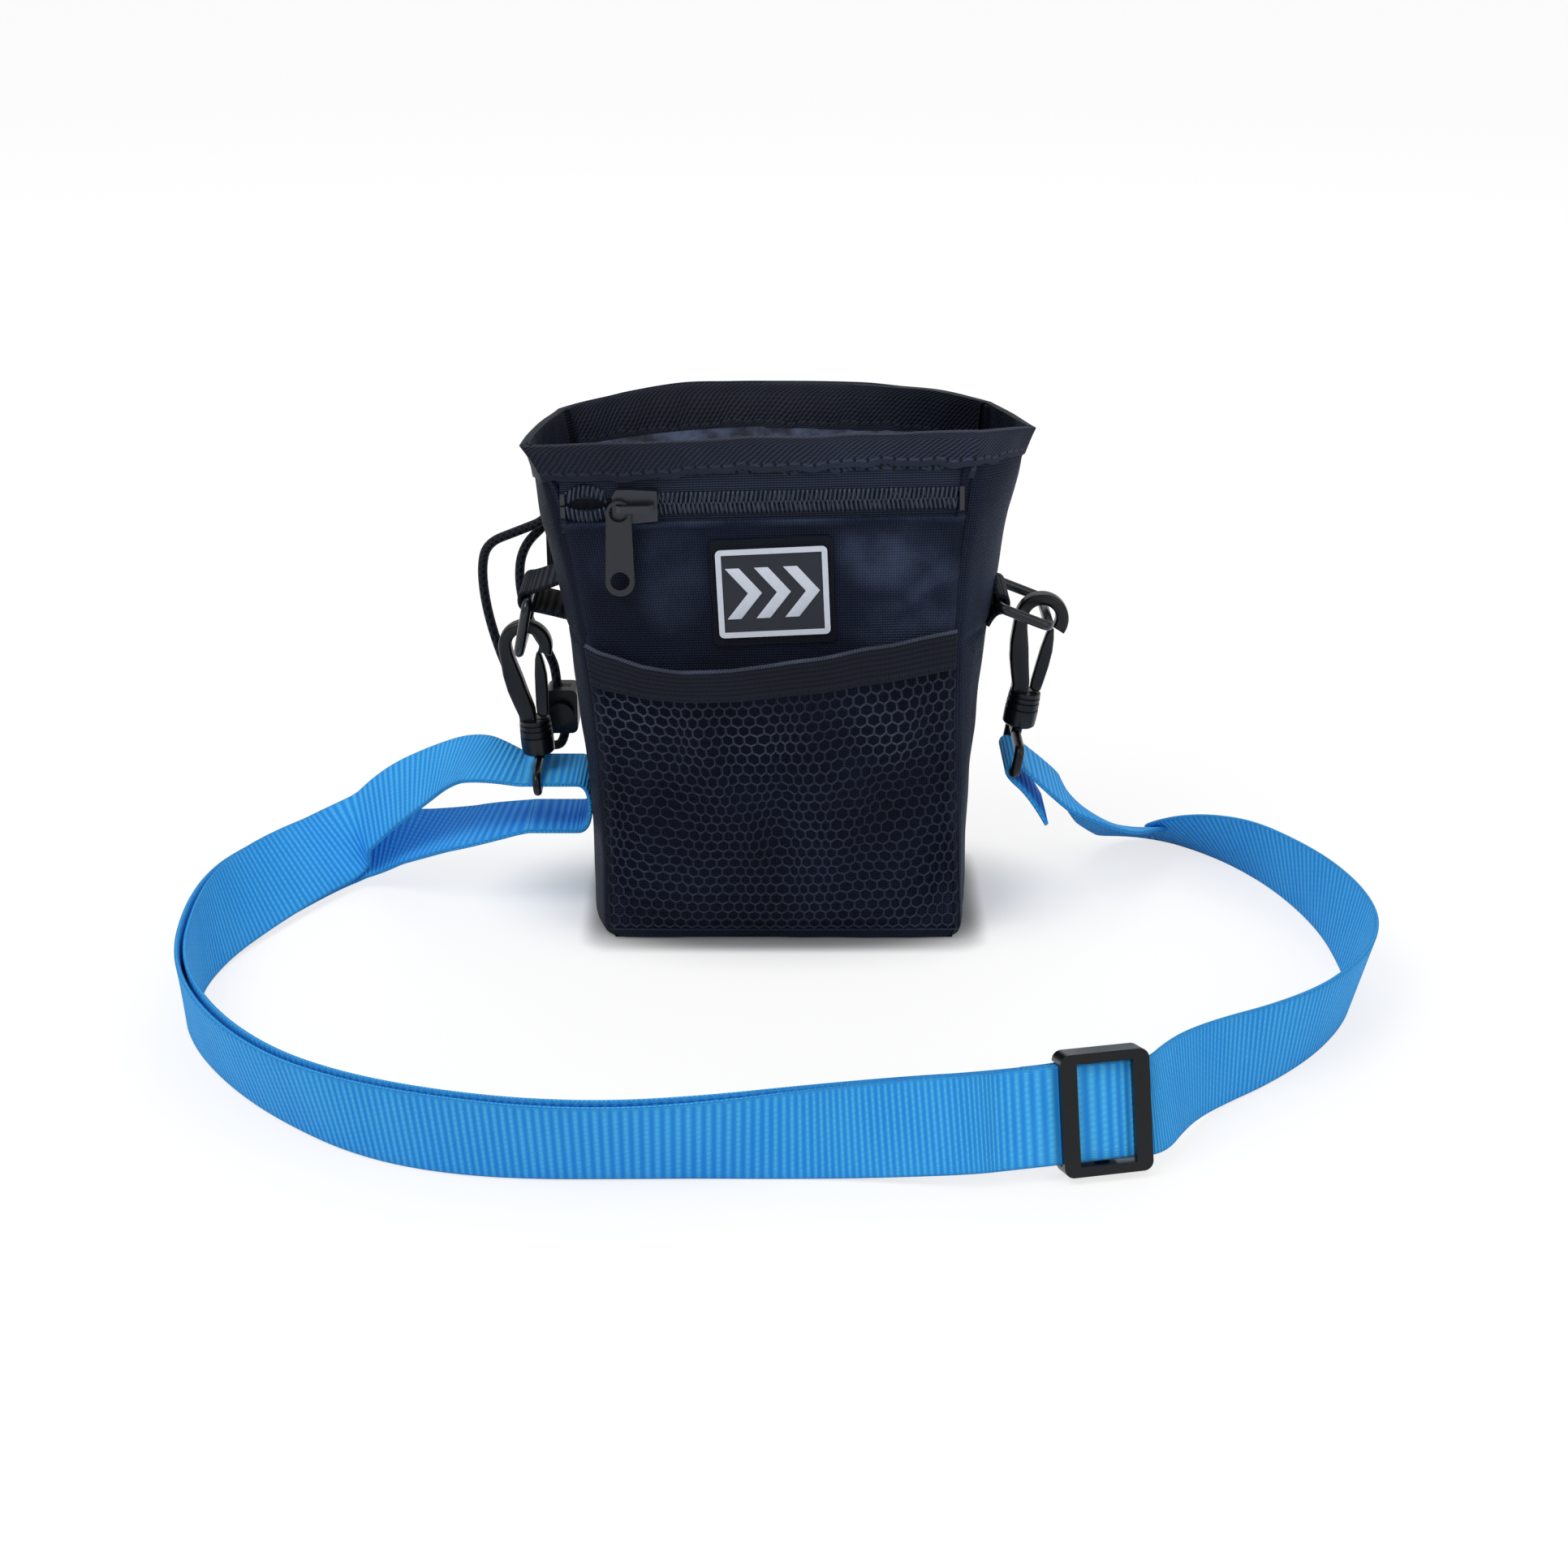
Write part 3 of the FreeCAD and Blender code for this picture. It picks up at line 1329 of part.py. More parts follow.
def make_right_fold():
    """The sewn-back end round the bar of the right eye, with its cut tail."""
    bar = eye_bar("right")
    radius = size("eye_wire") / 2 + size("strap_thickness") / 2 + size("fold_play")
    start = Vector(*STRAP_RISE[0][:3])
    way = eye_exit_way()
    normal = Vector(-way.z, 0, way.x)
    touch = bar + normal * radius
    first = touch - way * radius
    second = first - normal * (radius * 2)
    points = [(start.x, start.z), (first.x, first.z), (second.x, second.z)] + STRAP_TAIL
    radii = [None, radius, radius, None, None]
    feature("strap_right_fold", flat_band(points, radii))


def make_glide():
    """Strap slider: a dished frame with side bars in front and a centre bar behind."""
    body = new_body("tri_glide")
    body.Placement = glide_place()
    front = "strap_thickness * 0.5 + glide_clearance"
    behind = "fold_front + strap_thickness"
    depth = front + " + glide_bar_depth + " + behind + " + glide_centre_depth"
    frame = sketch_on(body, "XZ_Plane", "frame", front + " + glide_bar_depth")
    outline(frame, frame_corners("glide_length * 0.5", "glide_height * 0.5"))
    pad(body, frame, depth, back=True)
    round_edges(body, "glide_corner", lambda edge: along(edge, Y_AXIS))
    channel = sketch_on(body, "XZ_Plane", "channel", front)
    outline(channel, frame_corners("glide_length", "glide_slot * 0.5"))
    cut(body, channel, front + " + " + behind)
    window = sketch_on(body, "XZ_Plane", "window", front + " + glide_bar_depth")
    outline(window, frame_corners("glide_length * 0.5 - glide_bar", "glide_slot * 0.5"))
    cut(body, window, "glide_bar_depth")
    rear = sketch_on(body, "XZ_Plane", "rear_windows", "( " + behind + " ) * -1")
    for sign in (" * 1", " * -1"):
        near = "( glide_centre_bar * 0.5 )" + sign
        far = "glide_length" + sign
        corners = [(near, "glide_slot * -0.5"), (far, "glide_slot * -0.5")]
        corners += [(far, "glide_slot * 0.5"), (near, "glide_slot * 0.5")]
        outline(rear, corners)
    cut(body, rear, "glide_centre_depth")
    piece("tri_glide", body)


def make_glide_fold():
    """The sewn fold of webbing round the centre bar of the slider."""
    thick = size("strap_thickness")
    near = size("fold_front") + thick / 2
    middle = size("fold_front") + thick + size("glide_centre_depth") / 2
    far = middle * 2 - near
    tail = size("fold_tail")
    bend = (far - near) / 2
    side = size("glide_centre_bar") / 2 + bend
    joined = near + thick + size("fold_play")
    points = [(-tail, near), (side, near), (side, far), (-tail * 0.42, far)]
    points += [(-tail * 0.68, joined), (-tail, joined)]
    radii = [None, bend, bend, None, None, None]
    path = [Vector(x, y, 0) for x, y in points]
    wires = []
    for place, tangent, _ in route_stations(path, radii, 6):
        outward = Vector(tangent.y, -tangent.x, 0)
        wires.append(band_section(place, Z_AXIS, outward))
    feature("strap_fold_at_slider", Part.makeLoft(wires, True, True), glide_place())


# Drawstring


def eyelet_level():
    """The height of the eyelet, below the rim."""
    return size("bag_height") - size("eyelet_drop")


def hung(route):
    """The points of a strand, moved up or down to start at the eyelet."""
    lift = Vector(0, 0, eyelet_level() - route[0][2])
    return [Vector(*point) + lift for point in route]


def strand(label, spots):
    """One strand of round cord along straight runs and tangent arcs."""
    edges = []
    start = spots[0]
    for i in range(1, len(spots) - 1):
        radius, turn = corner_radius(spots[i - 1], spots[i], spots[i + 1])
        first = spots[i].sub(spots[i - 1]).normalize()
        second = spots[i + 1].sub(spots[i]).normalize()
        reach = radius * math.tan(turn / 2)
        inward = second.sub(first).normalize()
        middle = spots[i] + inward * (radius / math.cos(turn / 2) - radius)
        begin = spots[i] - first * reach
        end = spots[i] + second * reach
        edges.append(Part.makeLine(start, begin))
        edges.append(arc(begin, middle, end))
        start = end
    edges.append(Part.makeLine(start, spots[-1]))
    path = Part.Wire(edges)
    way = spots[1].sub(spots[0])
    ring = Part.Wire(Part.makeCircle(size("cord") / 2, spots[0], way))
    tube = path.makePipeShell([ring], True, True)
    share = tube.Volume / (math.pi * size("cord") ** 2 / 4 * path.Length)
    print_radii(label, spots)
    print(label, "volume share %.4f" % share)
    return feature(label, tube)


def make_drawstring():
    """Both strands and the eyelet where they leave the hem."""
    outer = hung(STRAND_OUTER)
    inner = hung(STRAND_INNER)
    strand("drawstring_outer", outer)
    strand("drawstring_inner", inner)
    middle = (outer[0] + inner[0]) * 0.5
    inward = outer[0] - outer[1]
    disc = Part.makeCylinder(size("eyelet"), size("eyelet_height") * 3, middle, inward)
    seated = disc.cut(NODES["left_gusset"].Shape).cut(NODES["back_panel"].Shape)
    nearest = min(seated.Solids, key=lambda solid: solid.CenterOfMass.sub(middle).Length)
    feature("cord_eyelet", nearest)


def lock_level():
    """The height of the middle of the cord lock, which hangs below the eyelet."""
    return eyelet_level() - size("lock_drop")


def make_cord_lock():
    """Spring lock on the drawstring: housing, plunger and the spring between them."""
    place = Placement(Vector(size("lock_x"), size("lock_y"), lock_level()), Rotation())
    body = new_body("cord_lock_body")
    body.Placement = place
    front = "lock_depth * 0.5"
    block = sketch_on(body, "XZ_Plane", "block")
    outline(block, frame_corners("lock_width * 0.5", "lock_height * 0.5"))
    pad(body, block, "lock_depth", both=True)
    round_edges(body, "lock_corner", lambda edge: along(edge, Y_AXIS))
    bore = sketch_on(body, "XZ_Plane", "bore", front)
    ring_line(bore, "0", "0", "plunger * 0.5 + plunger_clearance")
    cut(body, bore, "lock_depth - lock_floor")
    gate = sketch_on(body, "XY_Plane", "cord_way")
    outline(gate, frame_corners("cord + cord_play", "cord * 0.5 + cord_play"))
    cut(body, gate, "lock_height * 2", both=True)
    piece("cord_lock_body", body)
    button = new_body("cord_lock_button")
    button.Placement = place
    stem = sketch_on(button, "XZ_Plane", "stem", front + " + plunger_out")
    ring_line(stem, "0", "0", "plunger * 0.5")
    pad(button, stem, "lock_depth + plunger_out - lock_floor - plunger_travel - 0.4", back=True)
    way = sketch_on(button, "XY_Plane", "cord_way")
    low = "cord * -0.5 - plunger_travel - cord_play"
    high = "cord * 0.5 + cord_play"
    right = "cord + cord_play"
    left = "( cord + cord_play ) * -1"
    outline(way, [(left, low), (right, low), (right, high), (left, high)])
    cut(button, way, "lock_height * 2", both=True)
    piece("cord_lock_button", button)


def make_seam_tab():
    """Small folded tab in the left back seam."""
    corner = Vector(size("seam_tab_x"), size("seam_tab_y"), size("seam_tab_z"))
    sides = (size("seam_tab_width"), size("seam_tab_thickness"), size("seam_tab_height"))
    tab = Part.makeBox(*sides, corner)
    seated = tab.cut(NODES["left_gusset"].Shape).cut(NODES["back_panel"].Shape)
    feature("seam_tab", largest(seated))


def make_belt_loop():
    """Upright strip on the back, sewn at both ends, for a belt to pass behind."""
    low = size("belt_loop_low")
    high = size("belt_loop_high")
    foot = size("belt_loop_foot")
    gap = size("belt_loop_gap")
    thick = size("belt_loop_thickness")
    root = [spot(height_share(z), "back", size("wall") * 0.5).y for z in (low, high)]
    face = [spot(height_share(z), "back", 0.0).y for z in (low, high)]
    outer = [
        (root[0], low), (face[0] + thick, low), (face[0] + thick, low + foot),
        (face[0] + gap + thick, low + foot + gap), (face[1] + gap + thick, high - foot - gap),
        (face[1] + thick, high - foot), (face[1] + thick, high), (root[1], high),
    ]
    inner = [
        (root[1], high - foot - thick * 0.4), (face[1], high - foot - thick * 0.4),
        (face[1] + gap, high - foot - gap - thick * 0.4), (face[0] + gap, low + foot + gap + thick * 0.4),
        (face[0], low + foot + thick * 0.4), (root[0], low + foot + thick * 0.4),
    ]
    left = -size("belt_loop_width") / 2
    corners = [Vector(left, y, z) for y, z in outer + inner]
    blank = Part.Face(Part.makePolygon(corners + corners[:1])).extrude(X_AXIS * size("belt_loop_width"))
    loop = blank.cut(NODES["back_panel"].Shape)
    feature("belt_loop", largest(loop))


def make_lock_spring():
    """Coil spring between the plunger and the floor of the lock's housing."""
    wire = size("lock_spring_wire")
    length = size("plunger_travel") + 0.4
    radius = size("plunger") / 2 - wire
    pitch = (length - wire) / size("lock_spring_turns")
    helix = Part.makeHelix(pitch, length - wire, radius)
    ring = Part.Wire(Part.makeCircle(wire / 2, Vector(radius, 0, 0), Y_AXIS))
    coil = Part.Wire(helix.Edges).makePipeShell([ring], True, True)
    floor_y = size("lock_y") + size("lock_depth") / 2 - size("lock_floor")
    floor = Vector(size("lock_x"), floor_y, lock_level())
    base = Placement(floor, Rotation(X_AXIS, 90)).multiply(Placement(Vector(0, 0, wire / 2), Rotation()))
    feature("cord_lock_spring", coil, base)


def check_document():
    """Stop if any object failed or any sub-part has no valid shape."""
    for item in DOC.Objects:
        if any(word in item.State for word in ("Invalid", "Error")):
            raise RuntimeError("%s failed" % item.Name)
    for label, item in NODES.items():
        if item.Shape.isNull() or not item.Shape.isValid() or not item.Shape.Solids:
            raise RuntimeError("%s has no valid solid" % label)


make_pouch()
make_rim()
make_tapes()
make_coils()
make_stops()
make_slider()
make_pull()
make_lining()
make_mesh_pocket()
make_patch()
make_rings()
make_tabs()
for side in ("left", "right"):
    make_hook(side)
    make_gate(side)
    make_eye(side)
make_strap()
make_right_fold()
make_glide()
make_glide_fold()
make_drawstring()
make_cord_lock()
make_lock_spring()
make_seam_tab()
make_belt_loop()
DOC.recompute()
check_document()
os.makedirs("parts", exist_ok=True)
for label, item in NODES.items():
    item.Shape.exportStep("parts/%s.step" % label)
print(len(NODES), "nodes,", sum(len(item.Shape.Solids) for item in NODES.values()), "solids")
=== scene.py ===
import math
import bpy
from mathutils import Matrix, Vector, noise


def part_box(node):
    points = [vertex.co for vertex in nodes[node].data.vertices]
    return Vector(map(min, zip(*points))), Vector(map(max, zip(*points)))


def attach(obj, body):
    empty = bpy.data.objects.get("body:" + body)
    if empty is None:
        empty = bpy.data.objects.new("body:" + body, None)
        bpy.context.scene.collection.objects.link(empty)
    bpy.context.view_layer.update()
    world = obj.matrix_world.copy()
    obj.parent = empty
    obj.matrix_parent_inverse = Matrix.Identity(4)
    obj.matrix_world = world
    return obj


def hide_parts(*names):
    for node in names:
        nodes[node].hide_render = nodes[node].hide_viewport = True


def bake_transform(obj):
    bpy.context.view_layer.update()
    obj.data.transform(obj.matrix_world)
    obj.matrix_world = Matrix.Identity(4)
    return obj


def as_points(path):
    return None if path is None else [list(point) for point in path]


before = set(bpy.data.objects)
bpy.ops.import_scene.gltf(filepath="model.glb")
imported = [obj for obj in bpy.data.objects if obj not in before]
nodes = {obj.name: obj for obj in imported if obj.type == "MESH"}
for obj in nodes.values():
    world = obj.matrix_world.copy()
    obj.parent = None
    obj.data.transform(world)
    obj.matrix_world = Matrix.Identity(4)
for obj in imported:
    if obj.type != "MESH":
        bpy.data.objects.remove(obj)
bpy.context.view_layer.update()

# A black treat pouch with a zipped pocket and a mesh pocket, on a blue webbing shoulder strap.
# All sizes are in metres, in the frame of the part: the pouch faces -Y, +X is to the right.

# Camera, light and floor.
# The pouch stands on a plain white floor under soft light from the upper left, and the camera
# looks down on it by 22 degrees. The floor looks whiter to the camera than its own colour, and a
# soft contact shadow is painted on it round the pouch's foot.

CAMERA_SPOT = (0.0, -0.7317, 0.3325)
CAMERA_DOWN = math.radians(22)
CAMERA_LENS = 59.6
FLOOR_SIZE = 14.0
FLOOR_COLOUR = (0.8, 0.8, 0.8, 1.0)
FLOOR_NEAR = ((1.0, 1.0, 1.0, 1.0), (0.12, 0.12, 0.12, 1.0))
FLOOR_MIDDLE = ((0.30, 0.30, 0.30, 1.0), (0.74, 0.74, 0.74, 1.0))
# Floor colour and glow at the pouch's foot: a painted contact shadow.
FLOOR_FOOT_SHADOW = ((0.24, 0.24, 0.245, 1.0), (0.04, 0.04, 0.042, 1.0))
FLOOR_FAR = (0.80, 0.80, 0.80, 1.0)
FLOOR_STEP = (0.036, 0.060)
FLOOR_FADE = (0.25, 1.2)
FOOT_HALF = (0.051, 0.030)
FOOT_BACK = 0.002
SKY = 0.55

bpy.ops.object.select_all(action="DESELECT")
bpy.ops.object.camera_add(location=CAMERA_SPOT, rotation=(math.pi / 2 - CAMERA_DOWN, 0, 0))
bpy.context.object.data.lens = CAMERA_LENS
bpy.context.scene.camera = bpy.context.object
bpy.context.scene.view_settings.view_transform = "Standard"


def soft_lamp(spot, target, width, power):
    """A square lamp that faces a point."""
    way = (Vector(target) - Vector(spot)).to_track_quat("-Z", "Y").to_euler()
    bpy.ops.object.light_add(type="AREA", location=spot, rotation=way)
    lamp = bpy.context.object
    lamp.data.size = width
    lamp.data.energy = power


for spot, height, width, power in (
    ((-0.55, -0.5, 1.15), 0.05, 0.7, 6.0),
    ((0.9, -0.75, 0.75), 0.06, 0.8, 2.6),
    ((0.15, 0.8, 1.0), 0.08, 0.6, 2.2),
):
    soft_lamp(spot, (0.0, 0.0, height), width, power)

world = bpy.data.worlds.new("studio")
bpy.context.scene.world = world
world.use_nodes = True
world.node_tree.nodes["Background"].inputs["Color"].default_value = (1.0, 1.0, 1.0, 1.0)
world.node_tree.nodes["Background"].inputs["Strength"].default_value = SKY


def maths(operation, other_first=False):
    """A method that adds one Math node to a material, with the other number first where asked."""

    def method(value, *others):
        inputs = (*others, value) if other_first else (value, *others)
        return value.finish.node("ShaderNodeMath", {"operation": operation}, dict(enumerate(inputs)))

    return method


class Value:
    """One output of a node; arithmetic on it adds Math nodes to its material."""

    def __init__(self, finish, socket):
        self.finish = finish
        self.socket = socket

    __add__ = __radd__ = maths("ADD")
    __mul__ = __rmul__ = maths("MULTIPLY")
    __sub__ = maths("SUBTRACT")
    __rsub__ = maths("SUBTRACT", True)
    __truediv__ = maths("DIVIDE")
    __gt__ = maths("GREATER_THAN")
    __lt__ = maths("LESS_THAN")
    __abs__ = maths("ABSOLUTE")
    sine = maths("SINE")
    root = maths("SQRT")
    part = maths("FRACT")
    whole = maths("FLOOR")
    least = maths("MINIMUM")
    most = maths("MAXIMUM")

    def wave(self):
        """The sine of a number of turns."""
        return (self * (2 * math.pi)).sine()

    def ripple(self):
        """A wave between 0 and 1."""
        return 0.5 + 0.5 * self.wave()

    def ramp(self, low, high):
        """A smooth step from 0 at low to 1 at high."""
        settings = {"interpolation_type": "SMOOTHSTEP"}
        return self.finish.node("ShaderNodeMapRange", settings, {0: self, 1: low, 2: high})


class Finish:
    """A material with one Principled shader, whose even settings are set once on its sockets."""

    def __init__(self, name, **settings):
        self.material = bpy.data.materials.new(name)
        self.material.use_nodes = True
        self.tree = self.material.node_tree
        self.shader = self.tree.nodes["Principled BSDF"]
        for words, value in settings.items():
            self.shader.inputs[words.replace("_", " ").title().replace("Ior", "IOR")].default_value = value

    def node(self, kind, settings=None, inputs=None, output=0):
        """Any node: its settings first, then the values or links of its sockets."""
        new = self.tree.nodes.new(kind)
        for name, setting in (settings or {}).items():
            setattr(new, name, setting)
        for key, value in (inputs or {}).items():
            self.feed(new.inputs[key], value)
        return Value(self, new.outputs[output])

    def feed(self, socket, value):
        """Link a node's output to a socket, or set the socket's own number."""
        if isinstance(value, Value):
            self.tree.links.new(value.socket, socket)
        else:
            socket.default_value = value

    def split(self, vector):
        """The three numbers of a vector."""
        return [self.node("ShaderNodeSeparateXYZ", None, {0: vector}, i) for i in range(3)]

    def place(self):
        """The point of the surface in the part's frame."""
        return self.node("ShaderNodeTexCoord", None, None, "Object")

    def cloth_map(self):
        """The point on the flat cloth, across and along, in metres."""
        return self.node("ShaderNodeUVMap")

    def cloud(self, scale, vector, detail=2.0):
        """A soft random field about 0.5."""
        return self.node("ShaderNodeTexNoise", None, {"Vector": vector, "Scale": scale, "Detail": detail})

    def mix(self, factor, first, second):
        """A colour between two, which are sockets 6 and 7 of the node."""
        inputs = {0: factor, 6: first, 7: second}
        return self.node("ShaderNodeMix", {"data_type": "RGBA"}, inputs, 2)

    def colour(self, value):
        self.feed(self.shader.inputs["Base Color"], value)

    def roughness(self, value):
        self.feed(self.shader.inputs["Roughness"], value)

    def relief(self, height, depth, strength=1.0):
        """Bump from a height of 0 to 1 that stands for a depth in metres."""
        inputs = {"Strength": strength, "Distance": depth, "Height": height}
        bump = self.node("ShaderNodeBump", None, inputs)
        self.feed(self.shader.inputs["Normal"], bump)


floor_finish = Finish("floor", base_color=FLOOR_COLOUR, roughness=1.0, specular_ior_level=0.0)
rays = [floor_finish.node("ShaderNodeLightPath", None, None, "Is %s Ray" % kind)
        for kind in ("Camera", "Glossy", "Transmission")]
seen = (rays[0] + rays[1] + rays[2]).least(1.0)
floor_x, floor_y, _ = floor_finish.split(floor_finish.place())
floor_reach = (floor_x * floor_x * 0.36 + floor_y * floor_y).root()
# A soft band round the foot rectangle where the floor is painted darker: a painted contact shadow.
off_foot_x = (abs(floor_x) - FOOT_HALF[0]).most(0.0)
off_foot_y = (abs(floor_y + FOOT_BACK) - FOOT_HALF[1]).most(0.0)
off_foot = off_foot_x * off_foot_x + off_foot_y * off_foot_y
floor_step = floor_reach.ramp(*FLOOR_STEP)
foot_shadow_fade = off_foot.ramp(0.0, 0.00012)
near_shade = floor_finish.mix(foot_shadow_fade, FLOOR_FOOT_SHADOW[0], FLOOR_NEAR[0])
near_tone = floor_finish.mix(foot_shadow_fade, FLOOR_FOOT_SHADOW[1], FLOOR_NEAR[1])
floor_shade = floor_finish.mix(floor_step, near_shade, FLOOR_MIDDLE[0])
floor_tone = floor_finish.mix(floor_step, near_tone, FLOOR_MIDDLE[1])
floor_tone = floor_finish.mix(floor_reach.ramp(*FLOOR_FADE), floor_tone, FLOOR_FAR)
shaded = floor_finish.node("ShaderNodeBsdfDiffuse", None, {"Color": floor_shade})
glow = floor_finish.node("ShaderNodeEmission", None, {"Color": floor_tone})
pale = floor_finish.node("ShaderNodeAddShader", None, {0: shaded, 1: glow})
plain = Value(floor_finish, floor_finish.shader.outputs[0])
both = floor_finish.node("ShaderNodeMixShader", None, {0: seen, 1: plain, 2: pale})
floor_finish.feed(floor_finish.tree.nodes["Material Output"].inputs["Surface"], both)
bpy.ops.mesh.primitive_plane_add(size=FLOOR_SIZE)
floor = bpy.context.object
floor.name = "floor"
floor.data.materials.append(floor_finish.material)

# Shoulder strap: 25 mm woven nylon webbing in bright blue.
# One long layer runs from the right eye round the loop to the left eye, turns there and comes
# back inside itself to the strap slider, where it is sewn round the centre bar.

STRAP_RISE = [
    (0.0724, 0.0, 0.0456, -90.0),
    (0.0812, 0.0, 0.0378, -94.0),
    (0.09, 0.0015, 0.029, -100.0),
    (0.099, 0.0105, 0.0195, -95.0),
    (0.107, 0.025, 0.0115, -79.0),
    (0.1145, 0.0345, 0.006, -64.0),
    (0.1245, 0.0295, 0.0076, -52.0),
]
STRAP_RIGHT = [
    (0.1365, 0.0176, 0.0109, -34.0),
    (0.147, 0.0045, 0.0121, -20.0),
    (0.1553, -0.0134, 0.0126, -10.0),
    (0.1613, -0.0314, 0.0127, 1.0),
    (0.1644, -0.051, 0.0126, 12.0),
    (0.1643, -0.0695, 0.0125, 14.0),
    (0.1585, -0.087, 0.0125, 14.0),
    (0.1502, -0.1005, 0.0125, 12.0),
    (0.141, -0.112, 0.0126, 10.0),
    (0.1278, -0.1236, 0.0127, 4.0),
    (0.115, -0.1324, 0.0129, -3.0),
    (0.1055, -0.1415, 0.0139, -8.0),
    (0.0988, -0.1515, 0.0154, -13.0),
    (0.0929, -0.16209, 0.01615, -16.0),
]
STRAP_IN_SLIDER = [
    (0.088, -0.16313, 0.01615, -16.0),
    (0.0545, -0.17025, 0.01615, -16.0),
]
STRAP_DOUBLE = [
    (0.0469, -0.17186, 0.01615, -16.0),
    (0.0325, -0.1706, 0.0145, -12.5),
    (0.0175, -0.1703, 0.0132, -5.5),
    (0.003, -0.171, 0.0126, 2.0),
    (-0.018, -0.1733, 0.0125, 13.0),
    (-0.041, -0.1749, 0.0124, 18.0),
    (-0.062, -0.1744, 0.0124, 16.0),
    (-0.08, -0.1718, 0.0125, 13.0),
    (-0.097, -0.1669, 0.0125, 12.0),
    (-0.1125, -0.1596, 0.0125, 14.0),
    (-0.127, -0.149, 0.0123, 17.0),
    (-0.1405, -0.1358, 0.0124, 16.0),
    (-0.152, -0.1205, 0.0125, 13.0),
    (-0.161, -0.104, 0.0126, 8.0),
    (-0.1664, -0.088, 0.0126, 3.0),
    (-0.1686, -0.072, 0.0126, 1.0),
    (-0.1683, -0.0575, 0.0126, 5.0),
    (-0.1654, -0.041, 0.0126, 15.0),
    (-0.1596, -0.023, 0.0116, 30.0),
    (-0.1503, -0.0025, 0.0103, 42.0),
    (-0.139, 0.0145, 0.0096, 50.0),
]
STRAP_LOW_END = [
    (-0.1225, 0.015, 0.0118, 62.0),
    (-0.1055, 0.0065, 0.0182, 74.0),
    (-0.091, 0.001, 0.0234, 82.0),
    (-0.077, 0.0, 0.0264, 90.0),
]
STRAP_HIGH_END = [
    (-0.124, 0.01, 0.0268, 52.0),
    (-0.1085, 0.0065, 0.0375, 63.0),
    (-0.098, 0.0035, 0.0438, 72.0),
    (-0.0885, 0.0005, 0.0447, 82.0),
    (-0.079, 0.0, 0.0415, 90.0),
]
STRAP_WIDTH = 0.025
STRAP_THICKNESS = 0.0013
STRAP_LAYER = 0.00235
RIB_PITCH = 0.0019
UP = Vector((0, 0, 1))


def smooth_line(route):
    """Points along the smooth line that has a route as its control points."""
    curve = bpy.data.curves.new("route", "CURVE")
    curve.dimensions = "3D"
    spline = curve.splines.new("NURBS")
    spline.points.add(len(route) - 1)
    for knot, point in zip(spline.points, route):
        knot.co = (*point, 1.0)
    spline.order_u = 3
    spline.use_endpoint_u = True
    spline.resolution_u = 10
    holder = bpy.data.objects.new("route", curve)
    bpy.context.scene.collection.objects.link(holder)
    line = bpy.data.meshes.new_from_object(holder)
    spots = [vertex.co.copy() for vertex in line.vertices]
    bpy.data.objects.remove(holder)
    return spots


def directions(line):
    """The direction of a line at each of its points."""
    last = len(line) - 1
    return [(line[min(i + 1, last)] - line[max(i - 1, 0)]).normalized() for i in range(last + 1)]


def line_length(line):
    """The length of a line of points."""
    return sum((line[i + 1] - line[i]).length for i in range(len(line) - 1))


def leaning(way, lean):
    """The upright edge direction and the outward face of webbing that leans by an angle."""
    level = Vector((-way.y, way.x, 0)).normalized()
    upright = way.cross(level)
    turn = math.radians(lean)
    edge = upright * math.cos(turn) + level * math.sin(turn)
    face = level * math.cos(turn) - upright * math.sin(turn)
    return edge, face


def choose(piece):
    """Make one piece the only one that is selected, and the active one."""
    bpy.ops.object.select_all(action="DESELECT")
    piece.select_set(True)
    bpy.context.view_layer.objects.active = piece


def apply(piece, kind, **settings):
    """Add a modifier with its settings and apply it."""
    choose(piece)
    modifier = piece.modifiers.new(kind.lower(), kind)
    for name, setting in settings.items():
        setattr(modifier, name, setting)
    bpy.ops.object.modifier_apply(modifier=modifier.name)


def cloth_grid(name, across, along, place, width, length):
    """A flat grid of cloth with its UV map in metres, then moved to its place point by point."""
    bpy.ops.object.select_all(action="DESELECT")
    bpy.ops.mesh.primitive_grid_add(x_subdivisions=across, y_subdivisions=along, size=1)
    piece = bpy.context.object
    piece.name = name
    for loop in piece.data.uv_layers[0].data:
        loop.uv = (loop.uv.x * width, loop.uv.y * length)
    for vertex in piece.data.vertices:
        vertex.co = place(vertex.co.x + 0.5, vertex.co.y + 0.5)
    return piece


WEBBING_COLUMNS = (-0.5, -0.492, -0.47, -0.4, -0.2, 0.0, 0.2, 0.4, 0.47, 0.492, 0.5)
EDGE_THICKNESS = 0.35


def webbing(name, line, sides, width, thickness):
    """A woven strip along a line: sides gives the direction of its width at each point."""
    columns = len(WEBBING_COLUMNS) - 1
    rows = len(line) - 1

    def place(s, t):
        rank = round(t * rows)
        return line[rank] + sides[rank] * (WEBBING_COLUMNS[round(s * columns)] * width)

    piece = cloth_grid(name, columns, rows, place, width, line_length(line))
    group = piece.vertex_groups.new(name="full")
    inner = [v.index for v in piece.data.vertices if 1 < v.index % (columns + 1) < columns - 1]
    outer = [v.index for v in piece.data.vertices if v.index % (columns + 1) in (1, columns - 1)]
    group.add(inner, 1.0, "REPLACE")
    group.add(outer, 0.75, "REPLACE")
    apply(
        piece, "SOLIDIFY", thickness=thickness, offset=0.0, vertex_group="full",
        thickness_vertex_group=EDGE_THICKNESS,
    )
    bpy.ops.object.shade_smooth_by_angle(angle=math.radians(60))
    piece.vertex_groups.clear()
    return piece


